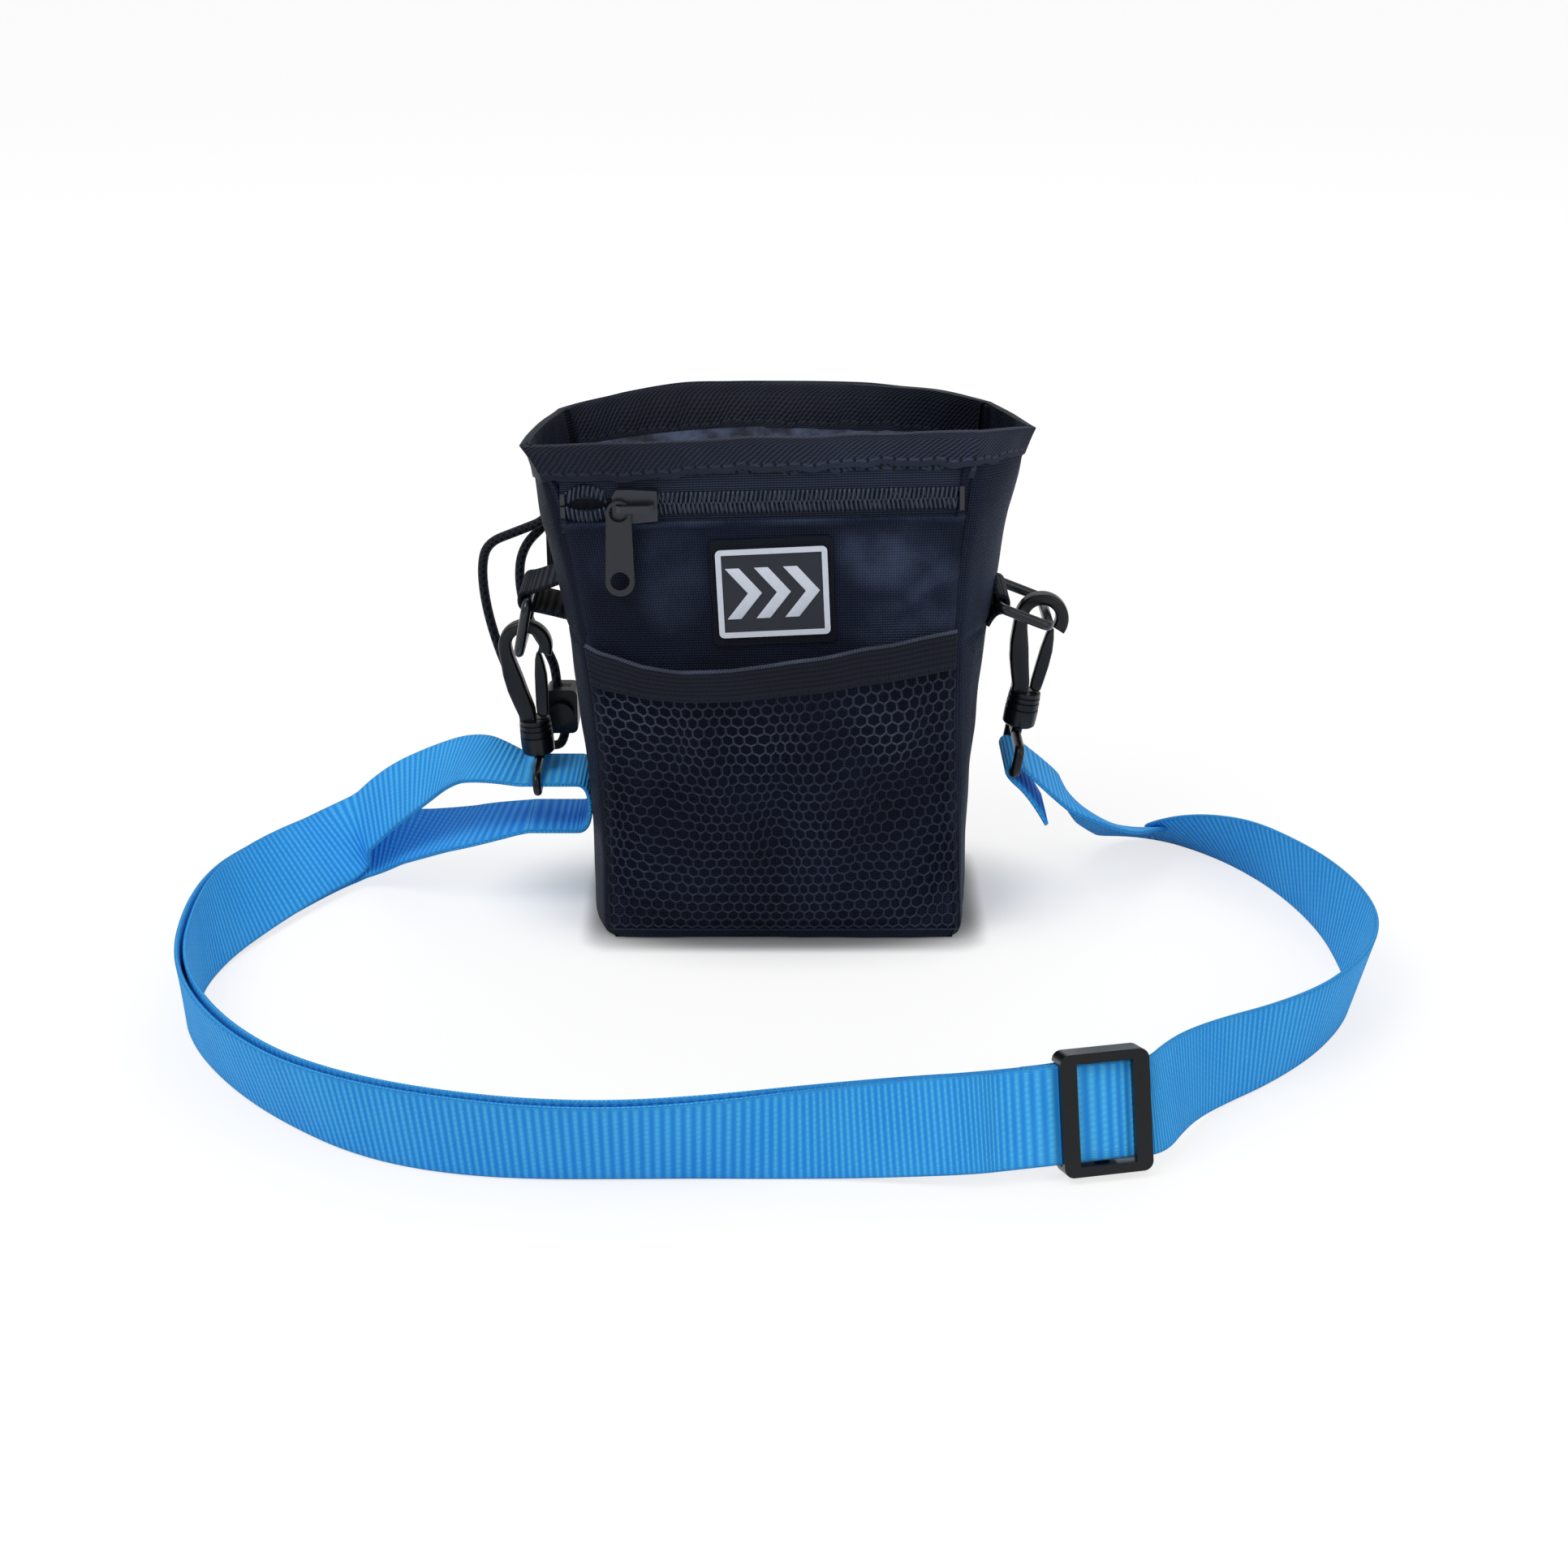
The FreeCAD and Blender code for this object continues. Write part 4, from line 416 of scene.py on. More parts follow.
def fit(piece, body, slot, finish, *replaced):
    """Give a piece its material, its body where one is given, and hide the nodes it stands for; slot is not
    used.
    """
    piece.data.materials.clear()
    piece.data.materials.append(finish.material)
    if body:
        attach(piece, body)
    if replaced:
        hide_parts(*replaced)


def ribbed_webbing(name, dark, light, pitch, width, shine):
    """Webbing with a rib at every pick across its width and a plain selvedge at both edges."""
    finish = Finish(
        name, specular_ior_level=0.2, sheen_weight=shine, sheen_roughness=0.45, sheen_tint=light
    )
    across, along, _ = finish.split(finish.cloth_map())
    rib = (along / pitch).ripple()
    yarns = (across / (pitch * 0.42) + 0.5 * (along / pitch * 2).whole() * 0.5).ripple()
    edge = abs(across / width - 0.5).ramp(0.44, 0.47)
    selvedge = (along / (pitch * 0.5) + across / (pitch * 0.8)).ripple()
    height = (rib * 0.7 + yarns * rib * 0.3) * (1 - edge) + selvedge * edge * 0.7
    patches = finish.cloud(60.0, finish.cloth_map(), 3.0)
    tone = height * 0.75 + patches * 0.35
    finish.colour(finish.mix(tone.ramp(0.05, 1.0), dark, light))
    finish.roughness(0.8 - 0.22 * height)
    finish.relief(height + patches * 0.12, 0.00035)
    return finish


def even_sides(line, side):
    """The same width direction at each point of a line."""
    return [Vector(side)] * len(line)


blue = ribbed_webbing(
    "blue webbing", (0.015, 0.275, 0.82, 1.0), (0.078, 0.53, 1.0, 1.0), RIB_PITCH, STRAP_WIDTH, 0.08
)


def strap_webbing(name, line, sides):
    """A piece of the strap's own webbing."""
    return webbing(name, line, sides, STRAP_WIDTH, STRAP_THICKNESS)


def strap_layer(name, rows, start_way, end_way):
    """A stretch of the strap and its line, from rows of its route."""
    line = smooth_line([row[:3] for row in rows])
    leans = [point.x for point in smooth_line([(row[3], 0, 0) for row in rows])]
    ways = directions(line)
    ways[0] = start_way
    ways[-1] = end_way
    sides = [leaning(way, lean)[0] for way, lean in zip(ways, leans)]
    return strap_webbing(name, line, sides), line


def inner_rows(rows):
    """The rows of the layer that lies inside another one."""
    points = [Vector(row[:3]) for row in rows]
    last = len(points) - 1
    inside = []
    for i, row in enumerate(rows):
        way = (points[min(i + 1, last)] - points[max(i - 1, 0)]).normalized()
        place = points[i] - leaning(way, row[3])[1] * STRAP_LAYER
        inside.append((*place, row[3]))
    return inside


GLIDE_SPOT = Vector((0.0792, -0.165, 0.01615))
GLIDE_TURN = Matrix.Rotation(math.radians(12), 3, "Z") @ Matrix.Rotation(math.radians(-16), 3, "X")
FOLD_TAIL = 0.020
STRAP_START_WAY = Vector((0.75, 0, -0.66))
STRAP_END_WAY = Vector((1, 0, 0))
strap_rows = STRAP_RISE + STRAP_RIGHT + STRAP_IN_SLIDER + STRAP_DOUBLE + STRAP_LOW_END
strap_main, strap_line = strap_layer("shoulder_strap", strap_rows, STRAP_START_WAY, STRAP_END_WAY)
fit(strap_main, "pouch", "blue_webbing", blue, "strap_main")

strap_end = GLIDE_SPOT + GLIDE_TURN @ Vector((-FOLD_TAIL, STRAP_LAYER, 0))
inside_start = inner_rows(STRAP_RIGHT[-1:] + STRAP_IN_SLIDER + STRAP_DOUBLE)[3:]
return_rows = [(*strap_end, STRAP_DOUBLE[0][3])] + inside_start + STRAP_HIGH_END
return_rows = [(x, y, z, lean) for x, y, z, lean in reversed(return_rows)]
return_line = smooth_line([row[:3] for row in return_rows])
return_leans = [point.x for point in smooth_line([(row[3], 0, 0) for row in return_rows])]
return_ways = directions(return_line)
return_ways[0] = Vector((-1, 0, 0))
return_sides = [leaning(way, -lean)[0] for way, lean in zip(return_ways, return_leans)]
strap_return = strap_webbing("strap_inner_layer", return_line, return_sides)
fit(strap_return, None, "blue_webbing", blue, "strap_return", "strap_return_end")
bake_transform(strap_return)

EYE_TURN = [
    (-0.077, 0.0, 0.0264),
    (-0.066, 0.0, 0.0264),
    (-0.0582, 0.0, 0.0264),
    (-0.0582, 0.0, 0.0415),
    (-0.066, 0.0, 0.0415),
    (-0.079, 0.0, 0.0415),
]
turn_line = smooth_line(EYE_TURN)
strap_turn = strap_webbing("strap_turn_at_left_eye", turn_line, even_sides(turn_line, (0, 1, 0)))
fit(strap_turn, "pouch", "blue_webbing", blue, "strap_turn_left")

EYE_WIRE = 0.003
EYE_DROP = 0.011
LAYER_GAP = 0.00006
FOLD_RADIUS = EYE_WIRE / 2 + STRAP_THICKNESS / 2 + LAYER_GAP
RIGHT_HOOK = Vector((0.0705, 0, 0.0565))
RIGHT_TILT = math.radians(9.8)
RIGHT_AXIS = Vector((math.sin(RIGHT_TILT), 0, math.cos(RIGHT_TILT)))
STRAP_TAIL = [(0.074, 0.0, 0.0376), (0.079, 0.0, 0.0286)]
eye_bar = RIGHT_HOOK - RIGHT_AXIS * EYE_DROP
fold_start = Vector(STRAP_RISE[0][:3])
reach = fold_start - eye_bar
swing = math.atan2(reach.z, reach.x) - math.asin(FOLD_RADIUS / reach.length)
fold_way = Vector((math.cos(swing), 0, math.sin(swing)))
fold_side = Vector((-fold_way.z, 0, fold_way.x))
over_bar = eye_bar + fold_side * FOLD_RADIUS - fold_way * FOLD_RADIUS
under_bar = over_bar - fold_side * (FOLD_RADIUS * 2)
fold_line = smooth_line([fold_start, over_bar, under_bar] + STRAP_TAIL)
right_fold = strap_webbing("strap_end_at_right_eye", fold_line, even_sides(fold_line, (0, 1, 0)))
fit(right_fold, "pouch", "blue_webbing", blue, "strap_right_fold")

FOLD_FRONT = 0.00075
GLIDE_BAR_WIDTH = 0.0032
GLIDE_BAR_DEPTH = 0.002
near = FOLD_FRONT + STRAP_THICKNESS / 2
far = (FOLD_FRONT + STRAP_THICKNESS + GLIDE_BAR_DEPTH / 2) * 2 - near
side = GLIDE_BAR_WIDTH / 2 + (far - near) / 2
sewn = near + STRAP_THICKNESS + LAYER_GAP
fold_points = [(-FOLD_TAIL, near), (side, near), (side, far), (-FOLD_TAIL * 0.42, far)]
fold_points += [(-FOLD_TAIL * 0.68, sewn), (-FOLD_TAIL, sewn)]
glide_line = smooth_line([GLIDE_SPOT + GLIDE_TURN @ Vector((x, y, 0)) for x, y in fold_points])
glide_sides = even_sides(glide_line, GLIDE_TURN @ UP)
glide_fold = strap_webbing("strap_fold_webbing", glide_line, glide_sides)
fit(glide_fold, "strap_slider", "blue_webbing", blue, "strap_fold_at_slider")

line_length(strap_line)
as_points(strap_line)

# Moulded parts: the strap slider, both swivel hooks with their gates and eyes, and the cord lock.
# They are injection-moulded in black acetal with a soft gloss and a fine grain.


def moulded(name, tone, roughness):
    """Black moulded plastic: faint flow marks, a fine grain and small scuffs."""
    finish = Finish(name, specular_ior_level=0.3, coat_weight=0.12, coat_roughness=0.16)
    place = finish.place()
    flow = finish.cloud(90.0, place, 4.0)
    grain = finish.cloud(2600.0, place, 1.0)
    scuff = finish.cloud(700.0, place, 3.0).ramp(0.62, 0.75)
    finish.colour(finish.mix(scuff * 0.4, tone, [min(1.0, part * 3) for part in tone[:3]] + [1.0]))
    finish.roughness(roughness + 0.12 * flow + 0.15 * scuff)
    finish.relief(grain * 0.5 + flow, 0.00006, 0.6)
    return finish


def finish_nodes(finish, *names):
    """Give a material to pieces that keep the shape of their nodes."""
    for name in names:
        nodes[name].data.materials.clear()
        nodes[name].data.materials.append(finish.material)


acetal = moulded("black acetal", (0.003, 0.0038, 0.006, 1.0), 0.28)
finish_nodes(acetal, "tri_glide", "eye_right")
lock_plastic = moulded("cord lock plastic", (0.002, 0.0024, 0.0035, 1.0), 0.38)
finish_nodes(lock_plastic, "cord_lock_body", "cord_lock_button")

HOOK_PLATE = [(0.5, 10.9), (4.3, 10.9), (4.3, 9.2), (-4.3, 9.2), (-4.5, 12.5), (-5.6, 16.0),
              (-6.9, 20.5), (-7.7, 25.5)]
HOOK_THICKNESS = 4.8
HOOK_ROUNDING = 1.0
HOOK_EDGE = [(-4.0, 32.8), (-3.6, 30.5), (-2.0, 24.5), (-0.9, 19.5), (-0.1, 16.2), (0.3, 14.6), (0.5, 13.5)]
HOOK_BOW = ((0.0, 33.9), 8.0)
HOOK_OPENING = ((0.0, 34.35), 4.1)
GATE_PLATE = [(1.0, 12.2), (0.95, 14.5), (1.3, 20.0), (1.7, 25.0), (2.3, 29.5), (2.9, 31.4), (3.6, 31.9),
              (4.3, 31.3), (4.9, 28.5), (5.3, 24.5), (5.15, 19.5), (4.6, 14.0), (4.3, 12.0), (3.5, 11.2),
              (2.0, 11.2)]
GATE_THICKNESS = 3.0
GATE_ROUNDING = 0.8
BARREL = [(0.0, 4.1), (3.08, 4.1), (3.08, 1.9), (1.7, 1.9), (1.7, 0.0), (4.3, 0.0), (4.9, 0.6), (5.0, 3.0),
          (5.0, 5.4), (4.55, 5.6), (4.55, 5.9), (4.95, 6.1), (4.9, 7.6), (4.45, 7.8), (4.45, 8.2),
          (4.85, 8.4), (4.8, 9.2), (4.4, 9.4), (4.4, 9.7), (4.75, 9.9), (4.6, 10.8), (0.0, 10.8)]
EYE_POST = [(0.0, -2.9), (1.3, -2.8), (1.6, -2.0), (1.6, 2.0), (3.0, 2.0), (3.0, 4.0), (0.0, 4.0)]
EYE_LOOP = [(0.4, -2.2), (8.0, -2.5), (14.2, -3.0), (14.6, -7.6), (12.4, -7.6), (-12.4, -7.6),
            (-14.6, -7.6), (-14.2, -3.0), (-8.0, -2.5), (-0.4, -2.2)]
EYE_RADIUS = 0.00125


def arc(centre, radius, start, end, steps):
    """Points on a circle between two angles in degrees."""
    turns = [math.radians(start + (end - start) * step / steps) for step in range(steps + 1)]
    return [(centre[0] + radius * math.cos(turn), centre[1] + radius * math.sin(turn)) for turn in turns]


def plate(name, points, thickness, edge):
    """A flat moulded shape with rounded edges, from its outline in millimetres."""
    curve = bpy.data.curves.new(name, "CURVE")
    curve.dimensions = "2D"
    curve.fill_mode = "BOTH"
    curve.extrude = (thickness / 2 - edge) / 1000
    curve.bevel_depth = edge / 1000
    curve.bevel_resolution = 3
    curve.offset = -edge / 1000
    spline = curve.splines.new("POLY")
    spline.points.add(len(points) - 1)
    for knot, (x, z) in zip(spline.points, points):
        knot.co = (x / 1000, z / 1000, 0, 1)
    spline.use_cyclic_u = True
    holder = bpy.data.objects.new(name + "_outline", curve)
    bpy.context.scene.collection.objects.link(holder)
    shape = bpy.data.meshes.new_from_object(holder)
    bpy.data.objects.remove(holder)
    for vertex in shape.vertices:
        vertex.co = (vertex.co.x, -vertex.co.z, vertex.co.y)
    piece = bpy.data.objects.new(name, shape)
    bpy.context.scene.collection.objects.link(piece)
    apply(piece, "WELD", merge_threshold=1e-6)
    bpy.ops.object.shade_smooth_by_angle(angle=math.radians(40))
    return piece


def face_outwards(close_ends):
    """Turn the faces of the active piece outwards, after its open ends are closed where asked."""
    bpy.ops.object.mode_set(mode="EDIT")
    bpy.ops.mesh.select_all(action="SELECT")
    if close_ends:
        bpy.ops.mesh.fill_holes(sides=0)
    bpy.ops.mesh.normals_make_consistent(inside=False)
    bpy.ops.object.mode_set(mode="OBJECT")


def turned(name, profile, sides):
    """A turned shape about its own z axis, from a profile of radius and height in millimetres."""
    rows = len(profile) - 1

    def place(s, t):
        radius, height = profile[round(t * rows)]
        turn = 2 * math.pi * s
        return Vector((radius * math.cos(turn), radius * math.sin(turn), height)) / 1000

    piece = cloth_grid(name, sides, rows, place, 0.03, 0.02)
    apply(piece, "WELD", merge_threshold=1e-6)
    face_outwards(False)
    bpy.ops.object.shade_smooth_by_angle(angle=math.radians(35))
    return piece


def joined(first, second):
    """Two shapes of one moulding as one piece."""
    choose(first)
    second.select_set(True)
    bpy.ops.object.join()
    return first


def put(piece, spot, lean):
    """Move a finished shape from its own frame to its place, leaning to the side by an angle."""
    piece.data.transform(Matrix.Translation(spot) @ Matrix.Rotation(lean, 4, "Y"))


def tube(name, line, radius, sides):
    """A round cord along a line, with its UV map in metres round and along it."""
    ways = directions(line)
    across = ways[0].orthogonal().normalized()
    frames = []
    for way in ways:
        across = (across - way * across.dot(way)).normalized()
        frames.append((across, way.cross(across)))
    rows = len(line) - 1

    def place(s, t):
        rank = round(t * rows)
        first, second = frames[rank]
        turn = 2 * math.pi * s
        return line[rank] + (first * math.cos(turn) + second * math.sin(turn)) * radius

    piece = cloth_grid(name, sides, rows, place, 2 * math.pi * radius, line_length(line))
    apply(piece, "WELD", merge_threshold=radius * 0.01)
    face_outwards(True)
    bpy.ops.object.shade_smooth_by_angle(angle=math.radians(50))
    return piece


head = arc(*HOOK_BOW, 184.0, -24.0, 40) + arc(*HOOK_OPENING, -30.0, 180.0, 32)
LEFT_HOOK = Vector((-0.0741, 0, 0.0475))
LEFT_TILT = math.radians(-4.7)
for side, spot, lean in (("left", LEFT_HOOK, LEFT_TILT), ("right", RIGHT_HOOK, RIGHT_TILT)):
    outline = HOOK_PLATE + head + HOOK_EDGE
    hook = plate("hook_%s_moulding" % side, outline, HOOK_THICKNESS, HOOK_ROUNDING)
    hook = joined(hook, turned("barrel", BARREL, 48))
    put(hook, spot, lean)
    fit(hook, side + "_hook", "black_plastic", acetal, "hook_" + side)
    gate = plate("gate_%s_moulding" % side, GATE_PLATE, GATE_THICKNESS, GATE_ROUNDING)
    put(gate, spot, lean)
    fit(gate, side + "_gate", "black_plastic", acetal, "gate_" + side)

eye_line = smooth_line([Vector((0, y, z)) / 1000 for y, z in EYE_LOOP])
eye = joined(tube("eye_left_moulding", eye_line, EYE_RADIUS, 16), turned("post", EYE_POST, 32))
put(eye, LEFT_HOOK, LEFT_TILT)
fit(eye, "pouch", "black_plastic", acetal, "eye_left")

# Drawstring: two strands of braided cord, nearly 3 mm thick.
# They leave the hem through one eyelet behind the left seam, hang down beside the ring in loose
# bends and pass through a moulded lock, whose button presses on a spring of drawn steel wire.

STRAND_OUTER = [
    (-0.0661, 0.0096, 0.134),
    (-0.0684, 0.0142, 0.1318),
    (-0.0684, 0.0178, 0.1250),
    (-0.0700, 0.0184, 0.1152),
    (-0.0800, 0.0184, 0.1112),
    (-0.0892, 0.0184, 0.1076),
    (-0.0912, 0.0184, 0.1000),
    (-0.0904, 0.0184, 0.0880),
    (-0.0872, 0.0184, 0.0744),
    (-0.0826, 0.0184, 0.062),
    (-0.079, 0.0184, 0.0496),
    (-0.0726, 0.0184, 0.0416),
    (-0.06669, 0.0184, 0.044),
    (-0.06669, 0.0184, 0.0622),
]
STRAND_INNER = [
    (-0.0642, 0.0115, 0.134),
    (-0.0668, 0.0162, 0.1318),
    (-0.0672, 0.0212, 0.1240),
    (-0.0704, 0.0214, 0.1136),
    (-0.0790, 0.0198, 0.1060),
    (-0.0803, 0.0188, 0.0940),
    (-0.077, 0.0184, 0.0816),
    (-0.0719, 0.0184, 0.0732),
    (-0.06931, 0.0184, 0.0656),
    (-0.06931, 0.0184, 0.0482),
]
CORD = 0.0029
BRAID_PITCH = 0.0022

braid = Finish("braided cord", specular_ior_level=0.15, sheen_weight=0.03, sheen_roughness=0.4)
braid_across, braid_along, _ = braid.split(braid.cloth_map())
strands_up = (braid_along / BRAID_PITCH + braid_across / (math.pi * CORD) * 4).wave()
strands_down = (braid_along / BRAID_PITCH - braid_across / (math.pi * CORD) * 4).wave()
braid_height = 0.5 + 0.5 * strands_up.most(strands_down)
braid.colour(braid.mix(braid_height, (0.002, 0.0026, 0.005, 1.0), (0.012, 0.015, 0.024, 1.0)))
braid.roughness(0.62 - 0.15 * braid_height)
braid.relief(braid_height, 0.0003)

outer_line = smooth_line(STRAND_OUTER)
outer_strand = tube("drawstring_outer_strand", outer_line, CORD / 2, 12)
fit(outer_strand, "pouch", "cord", braid, "drawstring_outer")
inner_line = smooth_line(STRAND_INNER)
inner_strand = tube("drawstring_inner_strand", inner_line, CORD / 2, 12)
fit(inner_strand, "pouch", "cord", braid, "drawstring_inner")
spring_steel = Finish("spring steel", metallic=1.0, base_color=(0.55, 0.55, 0.57, 1.0))
spring_cloud = spring_steel.cloud(900.0, spring_steel.place(), 3.0)
spring_steel.colour(spring_steel.mix(spring_cloud, (0.45, 0.45, 0.47, 1.0), (0.65, 0.65, 0.67, 1.0)))
spring_steel.roughness(0.25 + 0.2 * spring_cloud)

SPRING_MIDDLE = Vector((-0.0680, 0.0, 0.0552))
SPRING_START = 0.0198
SPRING_END = 0.0217
SPRING_TURNS = 3
SPRING_STEPS = 24
SPRING_RADIUS = 0.0029
SPRING_WIRE = 0.00022
spring_line = []
for step in range(SPRING_TURNS * SPRING_STEPS + 1):
    angle = 2 * math.pi * step / SPRING_STEPS
    depth = SPRING_START + (SPRING_END - SPRING_START) * step / (SPRING_TURNS * SPRING_STEPS)
    spoke = Vector((math.cos(angle), 0, math.sin(angle))) * SPRING_RADIUS
    spring_line.append(SPRING_MIDDLE + spoke + Vector((0, depth, 0)))
spring = tube("cord_lock_spring_wire", spring_line, SPRING_WIRE, 8)
fit(spring, None, "spring_steel", spring_steel, "cord_lock_spring")
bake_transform(spring)

# Pouch: front, back and two side panels of black woven polyester, and the base under them.
# The panels are cut from one cloth and sewn inside out, so each seam is a soft valley.

BASE_LEVEL = 0.0015
RIM_LEVEL = 0.150
RIM_TILT = math.radians(1.4)
WALL = 0.0012
FRONT_UPRIGHT = 0.45
SEAM_IN = 0.0033
FOOT = -0.009
ROLL_HEIGHT = 0.0045
ROLL_IN = 0.045
SWELL = 0.0044
OUTLINE = {
    "front_left": ((-0.0524, -0.028), (-0.0682, -0.030)),
    "left": ((-0.0578, -0.004), (-0.0738, -0.015)),
    "back_left": ((-0.0515, 0.0268), (-0.0643, 0.010)),
    "back": ((0.0, 0.028), (0.0, 0.0305)),
    "back_right": ((0.0515, 0.0268), (0.0598, 0.010)),
    "right": ((0.0552, -0.003), (0.0694, -0.015)),
    "front_right": ((0.0524, -0.028), (0.0536, -0.030)),
}
FLARE_FROM = 0.84
FLARE = {
    "front_left": (-0.0046, -0.0003),
    "left": (0.0034, 0.0080),
    "back_left": (-0.0010, 0.0030),
    "back": (-0.0040, 0.0065),
    "back_right": (-0.0004, -0.0050),
    "right": (-0.0030, -0.0030),
    "front_right": (0.0008, -0.0003),
}
CORNER = (0.0698, -0.0225)
CORNER_SHARE = 0.36
RIM_LIFT = 0.0022
RIM_LIFT_SLOPE = 0.012
SIDES = {
    "front": ("front_left", "front_right"),
    "right": ("front_right", "right", "back_right"),
    "back": ("back_right", "back", "back_left"),
    "left": ("back_left", "left", "front_left"),
}


def share_at(z):
    """How far up the wall a height is, from 0 at the base to 1 at the rim."""
    return (z - BASE_LEVEL) / (RIM_LEVEL - BASE_LEVEL)


def flaring(share):
    """How far the mouth has opened at a level, from 0 below the zip to 1 at the rim."""
    return max(0.0, (share - FLARE_FROM) / (1 - FLARE_FROM)) ** 3


def outline_spot(name, share):
    """A named point of the outline at one level."""
    low, high = OUTLINE[name]
    up = max(0.0, share)
    x, y = (a + (b - a) * up ** (2.5 if name == "front_left" else 2) for a, b in zip(low, high))
    if name == "front_right":
        x -= SEAM_IN * math.sin(math.pi * min(1.0, up ** 1.4))
    if name.startswith("front"):
        y = low[1] + (high[1] - low[1]) * min(1.0, share / FRONT_UPRIGHT)
    flare = flaring(share)
    return x + FLARE[name][0] * flare, y + FLARE[name][1] * flare


def circle_through(first, second, third):
    """The centre of the circle through three points."""
    (ax, ay), (bx, by), (cx, cy) = first, second, third
    double = 2 * (ax * (by - cy) + bx * (cy - ay) + cx * (ay - by))
    a, b, c = ax * ax + ay * ay, bx * bx + by * by, cx * cx + cy * cy
    x = (a * (by - cy) + b * (cy - ay) + c * (ay - by)) / double
    y = (a * (cx - bx) + b * (ax - cx) + c * (bx - ax)) / double
    return x, y


def settled(x, y, share, fill=1.0):
    """A point of a wall with the foot rolled under and the lower front pushed out by what is inside."""
    z = BASE_LEVEL + (RIM_LEVEL - BASE_LEVEL) * share
    bend = max(0.0, 1 - max(0.0, z) / ROLL_HEIGHT)
    narrow = 1 - ROLL_IN * (1 - math.sqrt(1 - bend * bend))
    top = max(0.0, min(1.0, (share - 0.92) / 0.08))
    hump = 0.0014 * math.exp(-((x + 0.036) / 0.02) ** 2) * max(0.0, min(1.0, y / 0.02))
    lift = RIM_LIFT + RIM_LIFT_SLOPE * min(x, 0.04) - 0.06 * max(0.0, x - 0.052) + hump
    lift = top * top * (3 - 2 * top) * lift + top * 0.0005 * noise.noise(Vector((x * 60, y * 60, 0.0)))
    forward = max(0.0, min(1.0, (-0.004 - y) / 0.022))
    push = fill * SWELL * forward * math.exp(-((z - 0.004) / 0.013) ** 2)
    return Vector((x * narrow, y * narrow - push, z + x * math.tan(RIM_TILT * share) + lift))


def wall(side, across, share, out=0.0):
    """A point of a panel: how far across it, its level, and how far it stands out."""
    spots = [outline_spot(name, share) for name in SIDES[side]]
    if len(spots) == 2:
        x = spots[0][0] + (spots[1][0] - spots[0][0]) * across
        y = spots[0][1] - out
    else:
        centre = circle_through(*spots)
        begin, end = (math.atan2(y - centre[1], x - centre[0]) for x, y in (spots[0], spots[2]))
        turn = (end - begin) % (2 * math.pi)
        radius = math.hypot(spots[0][0] - centre[0], spots[0][1] - centre[1])
        angle = begin + turn * across
        x = centre[0] + math.cos(angle) * (radius + out)
        y = centre[1] + math.sin(angle) * (radius + out)
        if side == "right":
            first = min(1.0, across / CORNER_SHARE)
            then = max(0.0, (across - CORNER_SHARE) / (1 - CORNER_SHARE))
            corners = zip(spots[0], CORNER, spots[2])
            pinched = [near + (fold - near) * first + (far - fold) * then for near, fold, far in corners]
            flare = flaring(share)
            x += (pinched[0] + math.cos(angle) * out - x) * flare
            y += (pinched[1] + math.sin(angle) * out - y) * flare
    return settled(x, y, share)


def spread(share, stops):
    """A share moved along pairs of shares, so that the grid has lines where they are wanted."""
    for (a, low), (b, high) in zip(stops, stops[1:]):
        if share <= b + 1e-9:
            return low + (high - low) * (share - a) / (b - a)
    return stops[-1][1]


def seam_valley(distance, width=0.0017, depth=0.0019):
    """How far the cloth sinks beside a seam."""
    return -depth * math.exp(-(distance / width) ** 2)


def creases(point, scale, stretch, seed):
    """Soft folds of the cloth between -1 and 1, long in the direction of the stretch."""
    spot = Vector((point.x * stretch[0], point.y * stretch[1], point.z * stretch[2])) * scale
    return noise.fractal(spot + Vector((seed, seed * 0.7, -seed)), 0.8, 2.0, 3)


def ridge(point, start, end, width):
    """A single fold from one point of the wall to another, seen from the front."""
    along = Vector((end[0] - start[0], end[1] - start[1]))
    offset = Vector((point.x - start[0], point.z - start[1]))
    share = max(0.0, min(1.0, offset.dot(along) / along.length_squared))
    distance = (offset - along * share).length
    return math.sin(math.pi * share) * math.exp(-(distance / width) ** 2)


def ridges(point, folds):
    """The height of several single folds at a point; a fold is its height, start, end and width."""
    return sum(height * ridge(point, start, end, width) for height, start, end, width in folds)


def plain_weave(across, along, pitch):
    """The height of threads that pass over and under each other in turn."""
    first = across / pitch
    second = along / pitch
    warp = (first.part() * 0.5).wave()
    weft = (second.part() * 0.5).wave()
    over = ((first.whole() + second.whole()) * 0.5).part() * 2
    return warp * (0.5 + 0.5 * weft) * over + weft * (0.5 + 0.5 * warp) * (1 - over)


CLOTH_DARK = (0.0014, 0.0024, 0.0066, 1.0)
CLOTH_LIGHT = (0.0110, 0.0175, 0.044, 1.0)
CLOTH_PAINTED_LIGHT = (0.056, 0.080, 0.145, 1.0)
CLOTH_SEAM_SHADE = (0.0006, 0.0008, 0.0016, 1.0)
CLOTH_PITCH = 0.00075
CLOTH_ROUGHNESS = 0.66
GUSSET_JOIN = 0.0915


